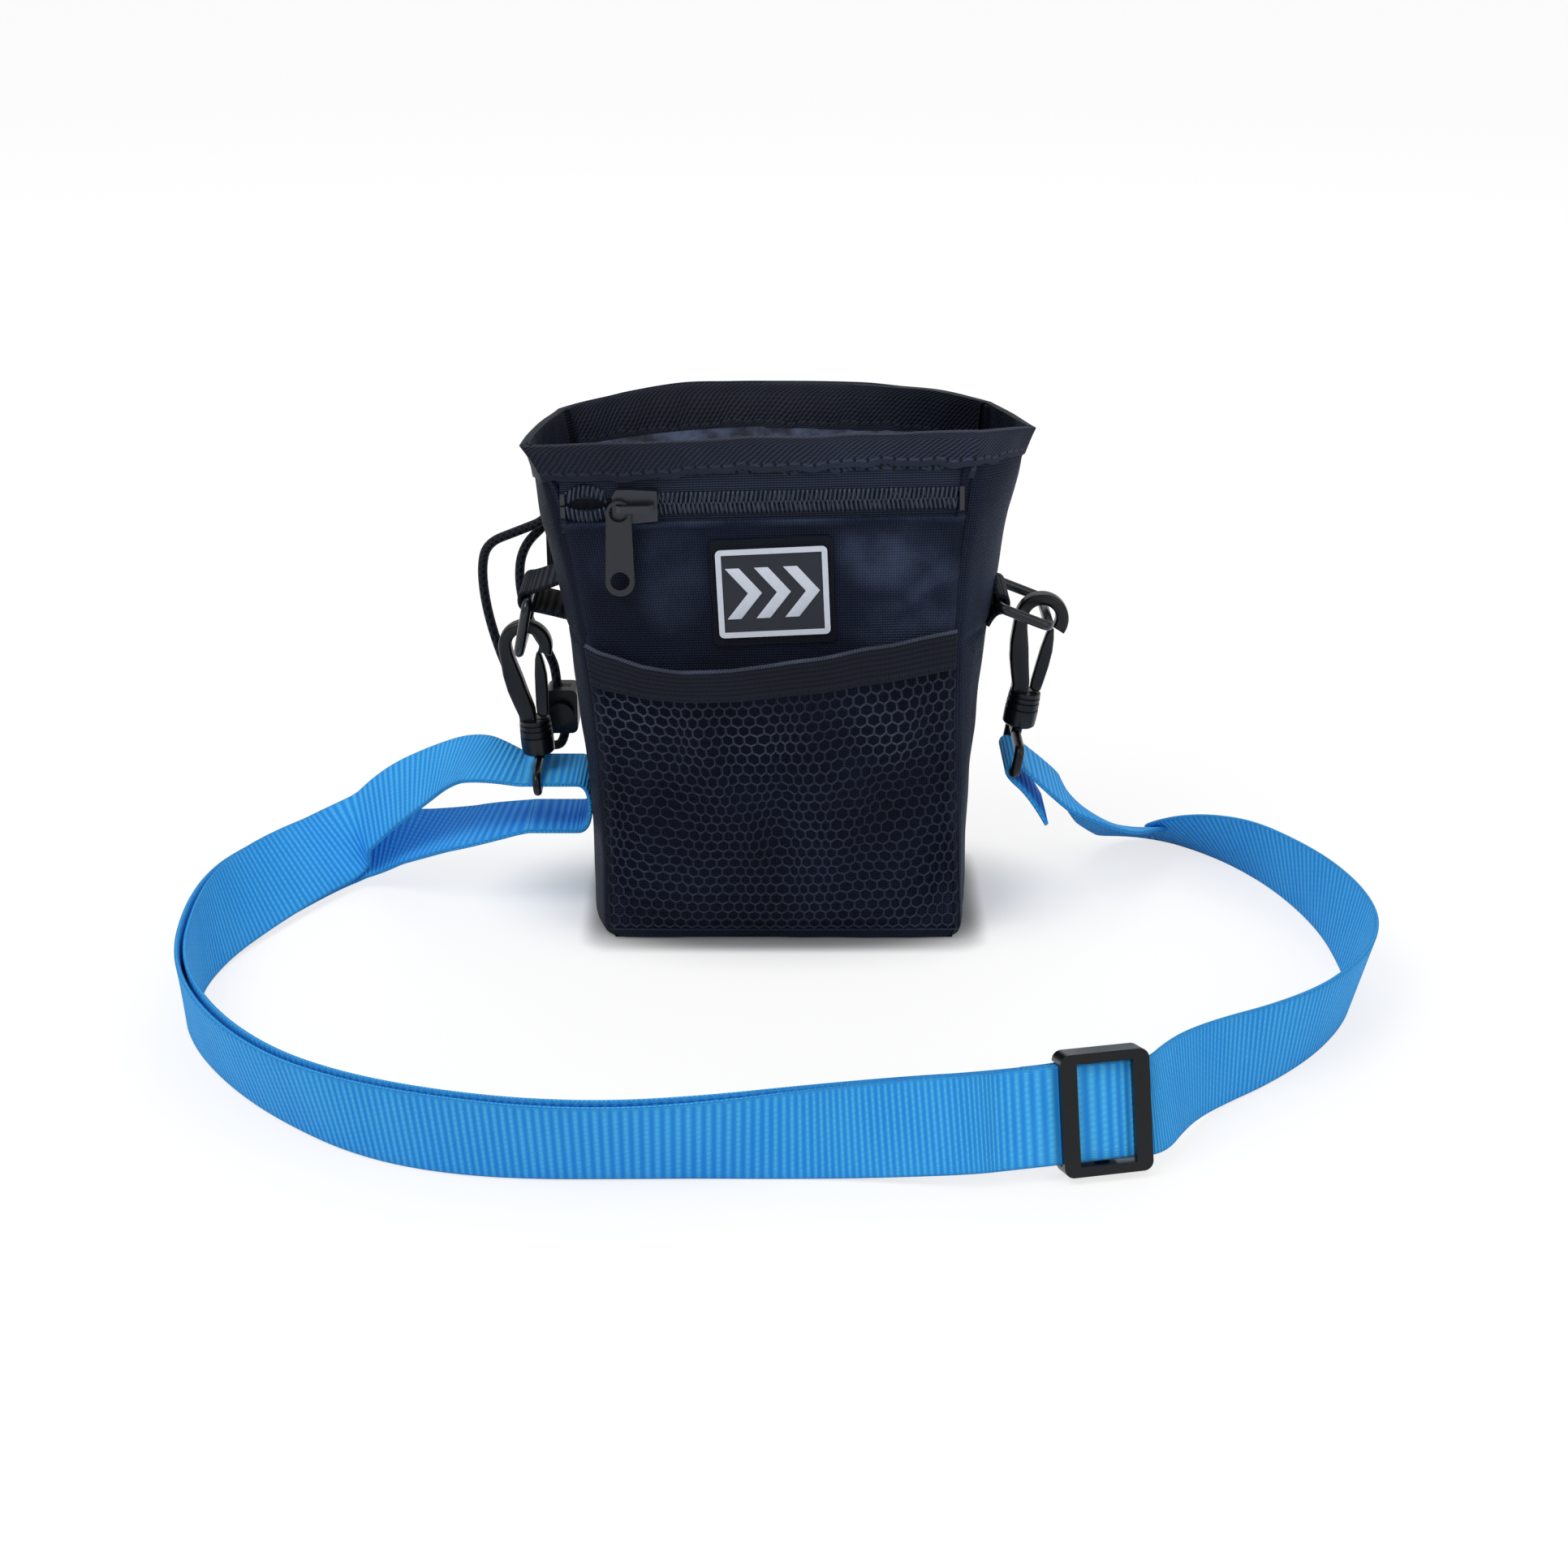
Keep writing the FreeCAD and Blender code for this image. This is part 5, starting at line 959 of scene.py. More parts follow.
def black_cloth(name, light, width, pale=None):
    """Black woven polyester: a plain weave, a little fade and lint, painted shade along the seams at its
    edges, and painted light where a mask is given.
    """
    finish = Finish(name, specular_ior_level=0.13, sheen_weight=0.04, sheen_roughness=0.35,
                    sheen_tint=(0.45, 0.65, 1.0, 1.0))
    across, along, _ = finish.split(finish.cloth_map())
    weave = plain_weave(across, along, CLOTH_PITCH)
    fade = finish.cloud(45.0, finish.place(), 3.0)
    slub = finish.cloud(1500.0, finish.cloth_map(), 2.0)
    tone = weave * 0.55 + fade * 0.6 + slub * 0.25
    colour = finish.mix(tone.ramp(0.25, 1.15), CLOTH_DARK, light)
    # Where a mask is given, the cloth is painted paler: painted highlight and sheen.
    if pale:
        colour = finish.mix(pale(finish) * (0.45 + 0.35 * weave), colour, CLOTH_PAINTED_LIGHT)
    # Darker near both cut edges: painted shade in the seam valleys.
    edge = across.least(width - across)
    finish.colour(finish.mix((1 - edge.ramp(0.0003, 0.0013)) * 0.85, colour, CLOTH_SEAM_SHADE))
    finish.roughness(CLOTH_ROUGHNESS - 0.18 * weave + 0.1 * slub)
    finish.relief(weave + slub * 0.35, CLOTH_PITCH * 0.35)
    return finish


def soft_spot(finish, x, z, half_width, half_height):
    """A mask that fades out from a point of the front."""
    spot_x, _, spot_z = finish.split(finish.place())
    off_x = (spot_x - x) / half_width
    off_z = (spot_z - z) / half_height
    return 1 - (off_x * off_x + off_z * off_z).ramp(0.0, 1.0)


def pale_spots(finish, spots):
    """The strongest of several soft spots; a spot is its place, its half sizes and its strength."""
    mask = 0.0
    for x, z, half_width, half_height, strength in spots:
        mask = (soft_spot(finish, x, z, half_width, half_height) * strength).most(mask)
    return mask


# Soft spots of painted sheen on the front's creases: place, half sizes and strength.
SHEEN_SPOTS = [
    (0.030, 0.119, 0.018, 0.014, 1.0),
    (0.044, 0.106, 0.012, 0.015, 1.0),
    (0.031, 0.098, 0.018, 0.010, 0.6),
    (-0.032, 0.112, 0.012, 0.020, 0.4),
    (-0.050, 0.120, 0.008, 0.014, 0.3),
]


def front_sheen(finish):
    """Painted highlights on the front: a line along the fold under the zip, and sheen on two creases beside
    it.
    """
    x, _, z = finish.split(finish.place())
    level = z - x * math.tan(math.radians(1.2))
    fold = level.ramp(0.1266, 0.1282) * (1 - level.ramp(0.1288, 0.1294))
    patches = finish.cloud(75.0, finish.place(), 4.0).ramp(0.30, 0.70)
    lit_creases = pale_spots(finish, SHEEN_SPOTS)
    return (fold * 0.7).most(lit_creases * 1.15) * (0.15 + 0.85 * patches)


FRONT_CUT = 0.115
PANEL_CUT = 0.15
GUSSET_CUT = 0.060
front_polyester = black_cloth("front polyester", CLOTH_LIGHT, FRONT_CUT, front_sheen)
polyester = black_cloth("black polyester", CLOTH_LIGHT, FRONT_CUT)
# The right side's cloth is a lit copy and the left side's a shaded copy: painted light and shade.
GUSSET_LIT = (0.019, 0.029, 0.064, 1.0)
GUSSET_SHADED = (0.0065, 0.0105, 0.027, 1.0)


def gusset_highlight(finish):
    """A painted highlight on the right side, beside its tab."""
    return soft_spot(finish, 0.066, 0.113, 0.016, 0.022) * 0.30


right_polyester = black_cloth("right polyester", GUSSET_LIT, GUSSET_CUT, gusset_highlight)
left_polyester = black_cloth("left polyester", GUSSET_SHADED, GUSSET_CUT)
WINDOW_LOW = share_at(0.1286)
WINDOW_HIGH = share_at(0.1436)
TURNED_EDGE = 0.0014
WINDOW_LEFT = 0.0195
WINDOW_RIGHT = 0.976
FRONT_COLUMNS = 96
FRONT_ROWS = 120
SIDE_ROWS = 150
window_across = (3 / FRONT_COLUMNS, 93 / FRONT_COLUMNS)
window_up = (100 / FRONT_ROWS, 109 / FRONT_ROWS)
across_stops = [(0, 0), (window_across[0], WINDOW_LEFT), (window_across[1], WINDOW_RIGHT), (1, 1)]
up_stops = [(0, FOOT), (window_up[0], WINDOW_LOW), (window_up[1], WINDOW_HIGH), (1, 1)]
FRONT_FOLDS = [
    (0.0016, (0.053, 0.118), (0.026, 0.096), 0.0035),
    (-0.0014, (0.052, 0.110), (0.020, 0.092), 0.0035),
    (0.0013, (0.016, 0.126), (0.038, 0.112), 0.004),
    (0.0009, (-0.058, 0.112), (-0.026, 0.094), 0.005),
]


def flat_place(s, t):
    """A point of the flat cloth, before its window is cut."""
    return s - 0.5, t - 0.5, 0


def front_place(s, t):
    """A point of the front panel, with its window edges turned in and soft folds below it."""
    across = spread(s, across_stops)
    share = spread(t, up_stops)
    flat = wall("front", across, share)
    width = wall("front", 1, share).x - wall("front", 0, share).x
    near_seam = min(across, 1 - across) * width
    out = seam_valley(near_seam)
    open_part = max(0.0, min(1.0, (0.124 - flat.z) / 0.01, near_seam / 0.01))
    badge_gap = math.hypot((flat.x + 0.003) / 0.021, (flat.z - 0.108) / 0.019)
    free = open_part * max(0.0, min(1.0, badge_gap - 1.0))
    out += free * 0.0009 * creases(flat, 26, (1.0, 1.0, 0.6), 3.0)
    out += free * ridges(flat, FRONT_FOLDS)
    if share > WINDOW_LOW - 0.02:
        below = (share - WINDOW_LOW) * (RIM_LEVEL - BASE_LEVEL)
        above = (share - WINDOW_HIGH) * (RIM_LEVEL - BASE_LEVEL)
        out -= seam_valley(below, TURNED_EDGE, 0.0013) + seam_valley(above, TURNED_EDGE, 0.0002)
    return wall("front", across, share, out)


def side_place(side, seed, amount):
    """A function for a point of a side or back panel, with its folds."""

    def place(s, t):
        share = FOOT + (1 - FOOT) * t
        flat = wall(side, s, share)
        width = (wall(side, 1, share) - wall(side, 0, share)).length
        near_seam = min(s, 1 - s) * width
        free = max(0.0, min(1.0, near_seam / 0.008, (0.138 - flat.z) / 0.012))
        out = seam_valley(near_seam) + free * amount * creases(flat, 24, (1.0, 1.0, 0.7), seed)
        if side != "back":
            out += seam_valley(flat.z - GUSSET_JOIN, 0.0012, 0.0009)
        return wall(side, s, share, out)

    return place


def thicken(piece, thickness, offset):
    """Give thin cloth its thickness and smooth its faces."""
    apply(piece, "SOLIDIFY", thickness=thickness, offset=offset)
    bpy.ops.object.shade_smooth_by_angle(angle=math.radians(50))


front = cloth_grid("front_panel_cloth", FRONT_COLUMNS, FRONT_ROWS, flat_place, FRONT_CUT, PANEL_CUT)
choose(front)
bpy.ops.object.mode_set(mode="EDIT")
bpy.ops.mesh.select_all(action="DESELECT")
bpy.ops.object.mode_set(mode="OBJECT")
for face in front.data.polygons:
    s, t = face.center.x + 0.5, face.center.y + 0.5
    face.select = window_across[0] < s < window_across[1] and window_up[0] < t < window_up[1]
bpy.ops.object.mode_set(mode="EDIT")
bpy.ops.mesh.delete(type="FACE")
bpy.ops.object.mode_set(mode="OBJECT")
for vertex in front.data.vertices:
    vertex.co = front_place(vertex.co.x + 0.5, vertex.co.y + 0.5)
thicken(front, WALL, -1.0)
fit(front, "pouch", "black_fabric", front_polyester, "front_panel")

for side, node, seed, columns, width, amount, cloth in (
    ("right", "right_gusset", 11.0, 50, GUSSET_CUT, 0.0014, right_polyester),
    ("back", "back_panel", 17.0, 90, FRONT_CUT, 0.0008, polyester),
    ("left", "left_gusset", 23.0, 50, GUSSET_CUT, 0.0014, left_polyester),
):
    place = side_place(side, seed, amount)
    panel = cloth_grid(node + "_cloth", columns, SIDE_ROWS, place, width, PANEL_CUT)
    thicken(panel, WALL, -1.0)
    fit(panel, "pouch", "black_fabric", cloth, node)


BASE_INSET = -0.0006
BASE_CUT = (0.105, 0.055)


def base_place(s, t):
    """A point of the base, blended between the lower edges of the four walls."""
    front_edge = wall("front", s, FOOT, BASE_INSET)
    back_edge = wall("back", 1 - s, FOOT, BASE_INSET)
    right_edge = wall("right", t, FOOT, BASE_INSET)
    left_edge = wall("left", 1 - t, FOOT, BASE_INSET)
    corners = front_edge.lerp(back_edge, t) + left_edge.lerp(right_edge, s)
    low = wall("front", 0, FOOT, BASE_INSET).lerp(wall("front", 1, FOOT, BASE_INSET), s)
    high = wall("back", 1, FOOT, BASE_INSET).lerp(wall("back", 0, FOOT, BASE_INSET), s)
    spot = corners - low.lerp(high, t)
    middle = min(s, 1 - s, t, 1 - t)
    spot.z = 0.0002 + 0.0008 * min(1.0, middle / 0.08)
    return spot


base = cloth_grid("base_cloth", 60, 36, base_place, *BASE_CUT)
bpy.ops.object.mode_set(mode="EDIT")
bpy.ops.mesh.select_all(action="SELECT")
bpy.ops.mesh.flip_normals()
bpy.ops.object.mode_set(mode="OBJECT")
thicken(base, WALL, -1.0)
fit(base, "pouch", "black_fabric", polyester, "base_panel")

# Rim binding: a 22 mm twill tape folded over the raw edge and sewn through.
# Its end laps over its start inside the back, and its lower edge is a little wavy.

BINDING = 0.0007
HEM_OUTSIDE = 0.0092
HEM_INSIDE = 0.0105
HEM_RISE = 0.0019
RIM_STEPS = (("front", 60), ("right", 36), ("back", 72), ("left", 36))
TAPE_WIDTH = 0.022
TAPE_THICKNESS = 0.00055
TWILL_ALONG = 0.0015
TWILL_ACROSS = 0.0010
LAP = 0.0012


def rim_stations():
    """Places round the rim, as side and share across it, closed to the first one."""
    stations = [(side, i / count) for side, count in RIM_STEPS for i in range(count)]
    return stations + stations[:1]


rim_round = rim_stations()
rim_steps = len(rim_round) - 1
hem_profile = [(BINDING, height) for height in (-1.0, -0.92, -0.8, -0.6, -0.4, -0.2, -0.08)]
hem_profile += [(BINDING * 0.8, 0.025), (-0.0006, 0.055), (-WALL - BINDING * 0.8, 0.025)]
hem_profile += [(-WALL - BINDING, height) for height in (-0.08, -0.2, -0.4, -0.6, -0.8, -0.92, -1.0)]


def hem_place(s, t):
    """A point of the folded tape: out of the wall and up from the rim."""
    side, across = rim_round[round(s * rim_steps)]
    rank = round(t * (len(hem_profile) - 1))
    out, height = hem_profile[rank]
    outside = rank < len(hem_profile) / 2
    depth = HEM_OUTSIDE if outside else HEM_INSIDE
    turn = 2 * math.pi * s
    wander = 0.0004 * math.sin(turn * 9 + 1) + 0.0003 * math.sin(turn * 31) + 0.0002 * math.sin(turn * 53)
    x = wall(side, across, 1.0).x
    rise = HEM_RISE * max(0.0, min(1.0, (x + 0.066) / 0.07)) if outside else 0.0
    z = RIM_LEVEL + height * (depth - rise) - wander * height
    lap = LAP * min(1.0, across / 0.3) if side == "back" and not outside and across < 0.53 else 0.0
    puff = 0.00025 * math.sin(turn * 31) * math.sin(math.pi * min(1.0, -height)) if height < 0 else 0.0
    return wall(side, across, share_at(z), out + puff - lap)


rim_length = line_length([wall(side, across, 1.0) for side, across in rim_round])
binding = cloth_grid("rim_binding_tape", rim_steps, len(hem_profile) - 1, hem_place, rim_length, TAPE_WIDTH)
apply(binding, "WELD", merge_threshold=1e-5)
thicken(binding, TAPE_THICKNESS, -1.0)

twill = Finish("twill tape", specular_ior_level=0.2, sheen_weight=0.04, sheen_roughness=0.35,
               sheen_tint=(0.6, 0.75, 1.0, 1.0))
twill_along, twill_across, _ = twill.split(twill.cloth_map())
selvedge_strip = (1 - twill_across.ramp(0.0024, 0.0030)).most(twill_across.ramp(0.0190, 0.0196))
diagonal = (twill_along / TWILL_ALONG - twill_across / TWILL_ACROSS).ripple()
yarn = (twill_across / 0.0006).ripple()
twill_height = diagonal * (0.8 - 0.55 * selvedge_strip) + yarn * 0.2 + selvedge_strip * 0.3
row = abs(twill_across - 0.0027).least(abs(twill_across - 0.0193))
stitch = (row < 0.00035) * ((twill_along / 0.0032).part() < 0.72)
hole = (row < 0.0005) * ((twill_along / 0.0032).part() > 0.8)
twill_dust = twill.cloud(50.0, twill.place(), 3.0)
twill_tone = (twill_height * 0.7 + twill_dust * 0.4 + stitch * 0.5 - hole * 0.6).ramp(0.1, 1.2)
# The tape is paler towards the right, and its back part, seen inside the mouth, is painted darker: painted
# shade.
twill_x, twill_y, _ = twill.split(twill.place())
to_right = twill_x.ramp(-0.060, 0.045)
inside = twill_y.ramp(-0.020, -0.010)
twill_pale_and_shade = twill.mix(to_right, (0.015, 0.022, 0.046, 1.0), (0.040, 0.054, 0.100, 1.0))
twill_pale_and_shade = twill.mix(inside, twill_pale_and_shade, (0.013, 0.019, 0.038, 1.0))
twill.colour(twill.mix(twill_tone, (0.0018, 0.003, 0.0085, 1.0), twill_pale_and_shade))
twill.roughness(0.66 - 0.15 * twill_height)
twill.relief(twill_height * 0.6 + stitch * 0.8 - hole * 0.6, 0.0004)
fit(binding, "pouch", "binding", twill, "rim_binding")

# Drawstring collar: a strip of thin coated nylon sewn under the inner hem.
# The cord gathers it, so it hangs into the mouth in loose puckers; it looks greyer than the pouch.

COLLAR_STEPS = 14
COLLAR_TOP = 0.0096
COLLAR_DEPTH = 0.0235
COLLAR_CUT = 0.03
THIN_CLOTH = 0.0003


def collar_place(s, t):
    """A point of the collar: it leaves the hem, bulges inwards and hangs down in puckers."""
    side, across = rim_round[round(s * rim_steps)]
    turn = 2 * math.pi * s
    gather = noise.noise(Vector((math.cos(turn) * 7.0, math.sin(turn) * 7.0, 0.3)))
    gather += 0.6 * noise.noise(Vector((math.cos(turn) * 17.0, math.sin(turn) * 17.0, 1.7)))
    bulge = math.sin(math.pi * min(1.0, t * 1.15)) * 0.5 + t * 0.6
    loose = math.exp(-((wall(side, across, 1.0).x + 0.008) / 0.024) ** 2) if side == "back" else 0.25
    out = -0.0024 - (0.0050 + 0.0055 * loose) * bulge - 0.0034 * gather * min(1.0, t * 3)
    drop = COLLAR_TOP + COLLAR_DEPTH * t + (0.0024 * gather - 0.0020 * loose) * math.sin(math.pi * t)
    crumple = creases(wall(side, across, 1.0) + Vector((0, 0, t * 0.03)), 90, (1, 1, 1), 31.0)
    return wall(side, across, share_at(RIM_LEVEL - drop), out + 0.0009 * crumple * min(1.0, t * 4))


collar = cloth_grid("drawstring_collar_cloth", rim_steps, COLLAR_STEPS, collar_place, rim_length, COLLAR_CUT)
apply(collar, "WELD", merge_threshold=1e-5)
apply(collar, "SUBSURF", levels=1, render_levels=1)
thicken(collar, THIN_CLOTH, 0.0)


def thin_nylon(name, dark, light):
    """Thin coated nylon: fine threads, creased, with a soft shine; its crumple crests are painted lighter as
    highlights.
    """
    finish = Finish(name, specular_ior_level=0.3, sheen_weight=0.05)
    across, along, _ = finish.split(finish.cloth_map())
    weave = plain_weave(across, along, 0.0004)
    crumple = finish.cloud(160.0, finish.place(), 5.0)
    # The colour follows the crumple field that makes the bumps: the lighter crests are painted highlights.
    finish.colour(finish.mix(crumple.ramp(0.3, 0.75), dark, light))
    finish.roughness(0.42 + 0.25 * crumple)
    finish.relief(crumple + weave * 0.06, 0.0016)
    return finish


collar_nylon = thin_nylon("collar nylon", (0.008, 0.011, 0.023, 1.0), (0.078, 0.108, 0.190, 1.0))
fit(collar, "pouch", "nylon", collar_nylon, "drawstring_collar")

# Front zip: two woven tapes behind the panel, a row of moulded coil on each and a lacquered slider.
# The chain is closed to the right of the slider; on its left the rows part over the lining.

ZIP_TILT = math.radians(1.2)
ZIP_ACROSS = Vector((math.cos(ZIP_TILT), 0, math.sin(ZIP_TILT)))
tape = Finish("zip tape", specular_ior_level=0.15, sheen_weight=0.04)
tape_x, _, tape_z = tape.split(tape.place())
tape_up = tape_z - tape_x * math.tan(ZIP_TILT)
tape_rows = (tape_up / 0.0007).ripple()
tape_ribs = (tape_x / 0.0009).ripple()
tape_height = tape_rows * 0.6 + tape_ribs * tape_rows * 0.4
tape.colour(tape.mix(tape_height, (0.006, 0.009, 0.018, 1.0), (0.044, 0.060, 0.108, 1.0)))
tape.roughness(0.75 - 0.15 * tape_height)
tape.relief(tape_height, 0.0002)
finish_nodes(tape, "zip_tape_upper", "zip_tape_lower")

coil = Finish("moulded coil", specular_ior_level=0.4)
coil_cloud = coil.cloud(900.0, coil.place(), 2.0)
coil.colour(coil.mix(coil_cloud, (0.010, 0.014, 0.026, 1.0), (0.042, 0.056, 0.095, 1.0)))
coil.roughness(0.3 + 0.2 * coil_cloud)
coil.relief(coil_cloud, 0.00005)

ROW_PITCH = 0.0013
ROW_WIRE = 0.0004
ROW_INNER = -0.00055
ROW_OUTER = 0.0034
ROW_DEPTH = 0.00048
ROW_PARTED = 0.0006
ZIP_LEVEL = 0.134
STOP_GAP = 0.0018
ZIP_UP = Vector((-ZIP_ACROSS.z, 0, ZIP_ACROSS.x))
LOOP_STEPS = 12


def coil_row(name, node, side, shift, bow):
    """One row of coil: a flat helix of thick monofilament, parted in a bow where one is given."""
    low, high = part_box(node)
    start, end = low[0] + ROW_WIRE, high[0] - ROW_WIRE
    if not bow:
        end += STOP_GAP
    depth = (low[1] + high[1]) / 2
    steps = int((end - start) / ROW_PITCH * LOOP_STEPS)
    middle = (ROW_INNER + ROW_OUTER) / 2
    reach = (ROW_OUTER - ROW_INNER) / 2 - ROW_WIRE
    line = []
    for step in range(steps + 1):
        along = start + step * ROW_PITCH / LOOP_STEPS
        angle = 2 * math.pi * (step / LOOP_STEPS + shift)
        parted = bow * math.sin(math.pi * (along - start) / (end - start)) + (ROW_PARTED if bow else 0.0)
        up = side * (middle + parted + reach * math.cos(angle))
        loop_depth = depth + ROW_DEPTH * math.sin(angle)
        line.append(ZIP_ACROSS * along + ZIP_UP * up + Vector((0, loop_depth, ZIP_LEVEL)))
    row = tube(name, line, ROW_WIRE, 6)
    fit(row, None, "coil", coil, node)
    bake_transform(row)


coil_row("zip_row_upper", "coil_upper", 1, 0.0, 0.0)
coil_row("zip_row_lower", "coil_lower", -1, 0.5, 0.0)
coil_row("zip_row_open_upper", "coil_open_upper", 1, 0.0, 0.0021)
coil_row("zip_row_open_lower", "coil_open_lower", -1, 0.5, 0.0016)


def lacquer(name, tone, worn, roughness, metal):
    """Lacquered zinc: an even film with fine orange peel and rubbed edges."""
    finish = Finish(name, specular_ior_level=0.5, coat_weight=0.35, coat_roughness=0.22)
    place = finish.place()
    peel = finish.cloud(1400.0, place, 2.0)
    rub = finish.cloud(260.0, place, 4.0).ramp(0.6, 0.8)
    finish.colour(finish.mix(rub * 0.5, tone, worn))
    finish.roughness(roughness + 0.1 * peel + 0.1 * rub)
    finish.feed(finish.shader.inputs["Metallic"], metal + 0.2 * rub)
    finish.relief(peel, 0.00005, 0.6)
    return finish


zip_metal = lacquer("zip lacquer", (0.009, 0.013, 0.024, 1.0), (0.034, 0.044, 0.070, 1.0), 0.36, 0.25)
finish_nodes(zip_metal, "zip_slider_body", "zip_top_stops", "zip_bottom_stop")
pull_metal = lacquer("pull lacquer", (0.0045, 0.007, 0.014, 1.0), (0.020, 0.027, 0.045, 1.0), 0.56, 0.1)
finish_nodes(pull_metal, "pull_tab")

LINING_PROFILE = [(0.0017, 0.1265), (0.0017, 0.112), (0.0017, 0.096), (0.0019, 0.0775), (0.0034, 0.0768),
                  (0.0046, 0.078), (0.0048, 0.096), (0.0048, 0.112), (0.0047, 0.128), (0.0042, 0.1425)]
LINING_CUT = (0.112, 0.12)


def lining_place(s, t):
    """A point of the zip pocket's bag, which is folded once at its bottom."""
    steps = len(LINING_PROFILE) - 1
    rank = min(int(t * steps), steps - 1)
    ends = zip(LINING_PROFILE[rank], LINING_PROFILE[rank + 1])
    depth, z = (low + (high - low) * (t * steps - rank) for low, high in ends)
    spot = wall("front", 0.02 + 0.955 * s, share_at(z), -depth)
    spot.y += 0.0003 * creases(spot, 60, (1, 1, 1), 41.0)
    return spot


lining = cloth_grid("zip_pocket_bag", 60, 54, lining_place, *LINING_CUT)
thicken(lining, THIN_CLOTH, 0.0)
lining_nylon = thin_nylon("lining nylon", (0.006, 0.008, 0.015, 1.0), (0.030, 0.040, 0.070, 1.0))
fit(lining, "pouch", "nylon", lining_nylon, "zip_pocket_lining")

# Patch: a soft moulded badge with a raised pale frame, sewn on a dark backing.
# The field holds three plain pale chevrons that are moulded with the frame.

PATCH_SPOT = Vector((-0.0031, -0.030, 0.108))
PATCH_TURN = math.radians(2.7)
PATCH_BACKING = 0.0008
PATCH_FACE = 0.0009
PATCH_HOLLOW = 0.00035
PATCH_FIELD = PATCH_BACKING + PATCH_FACE - PATCH_HOLLOW
CHEVRON_PITCH = 0.0082
CHEVRON_ARM = 0.0040
CHEVRON_LEAN = 0.0062
CHEVRON_HEIGHT = 0.0150
CHEVRON_DEPTH = 0.0004
PALE_TONES = ((0.60, 0.64, 0.72, 1.0), (0.72, 0.76, 0.84, 1.0))

rubber = Finish("patch rubber", specular_ior_level=0.4)
_, rubber_y, _ = rubber.split(rubber.place())
raised = (PATCH_SPOT.y - rubber_y).ramp(PATCH_FIELD + 0.00008, PATCH_FIELD + 0.0002)
rubber_cloud = rubber.cloud(400.0, rubber.place(), 3.0)
pale_tone = rubber.mix(rubber_cloud, *PALE_TONES)
rubber.colour(rubber.mix(raised, (0.016, 0.019, 0.03, 1.0), pale_tone))
rubber.roughness(0.48 + 0.15 * rubber_cloud)
rubber.relief(rubber_cloud, 0.00006)
finish_nodes(rubber, "badge_face")
patch_weave = Finish("patch cloth", specular_ior_level=0.15)
patch_x, _, patch_z = patch_weave.split(patch_weave.place())
patch_height = plain_weave(patch_x + 0.2, patch_z, 0.0006)
patch_weave.colour(patch_weave.mix(patch_height, (0.002, 0.0028, 0.006, 1.0), (0.011, 0.014, 0.025, 1.0)))
patch_weave.roughness(0.8 - 0.2 * patch_height)
patch_weave.relief(patch_height, 0.0002)
finish_nodes(patch_weave, "badge_backing")

pale_rubber = Finish("pale rubber", specular_ior_level=0.4)
pale_cloud = pale_rubber.cloud(400.0, pale_rubber.place(), 3.0)
pale_rubber.colour(pale_rubber.mix(pale_cloud, *PALE_TONES))
pale_rubber.roughness(0.48 + 0.15 * pale_cloud)
pale_rubber.relief(pale_cloud, 0.00006)


def chevron(rank):
    """One raised chevron of the badge: a plate whose middle is pulled to the right."""
    bpy.ops.object.select_all(action="DESELECT")
    bpy.ops.mesh.primitive_cube_add(size=1)
    piece = bpy.context.object
    piece.name = "badge_chevron_%d" % (rank + 1)
    bpy.ops.object.mode_set(mode="EDIT")
    bpy.ops.mesh.subdivide(number_cuts=1)
    bpy.ops.object.mode_set(mode="OBJECT")
    for vertex in piece.data.vertices:
        lean = (0.5 - 2 * abs(vertex.co.z)) * CHEVRON_LEAN
        across = vertex.co.x * CHEVRON_ARM + lean + (rank - 1) * CHEVRON_PITCH
        up = vertex.co.z * CHEVRON_HEIGHT
        depth = PATCH_FIELD - 0.00005 + (0.5 - vertex.co.y) * CHEVRON_DEPTH
        x = across * math.cos(PATCH_TURN) - up * math.sin(PATCH_TURN)
        z = across * math.sin(PATCH_TURN) + up * math.cos(PATCH_TURN)
        vertex.co = PATCH_SPOT + Vector((x, -depth, z))
    apply(piece, "BEVEL", width=0.00025, segments=2, limit_method="ANGLE")
    bpy.ops.object.shade_smooth_by_angle(angle=math.radians(40))
    fit(piece, "pouch", "badge", pale_rubber)


for rank in range(3):
    chevron(rank)

# Mesh pocket: open hexagonal netting that bows out from the front panel.
# It is knitted as one net, sewn into the side seams and the base, and hangs from the elastic band.

NET_PITCH = 0.0036
NET_THREAD = 0.0007
POCKET_BOW = 0.0066
POCKET_MARGIN = 0.0004
POCKET_BOTTOM = 0.0035
POCKET_SIDE = -0.055
POCKET_WIDTH = 0.11
BAND_SLOPE = 0.014
BAND_TOP_LINE = [(-0.060, 0.0945), (-0.050, 0.0900), (-0.038, 0.0868), (-0.027, 0.0857), (-0.012, 0.0868),
                 (0.010, 0.0898), (0.030, 0.0930), (0.056, 0.0965)]
BAND_LOW_LINE = [(-0.060, 0.0815), (-0.050, 0.0785), (-0.038, 0.0768), (-0.027, 0.0765), (-0.012, 0.0772),
                 (0.010, 0.0795), (0.030, 0.0820), (0.056, 0.0850)]
NET_FOLDS = [
    (0.0022, (-0.030, 0.078), (-0.006, 0.020), 0.005),
    (0.0024, (0.036, 0.080), (0.012, 0.018), 0.0045),
    (0.0018, (0.046, 0.075), (0.034, 0.012), 0.004),
    (-0.0022, (0.012, 0.080), (0.040, 0.030), 0.0045),
    (-0.0018, (-0.044, 0.072), (-0.030, 0.020), 0.004),
]


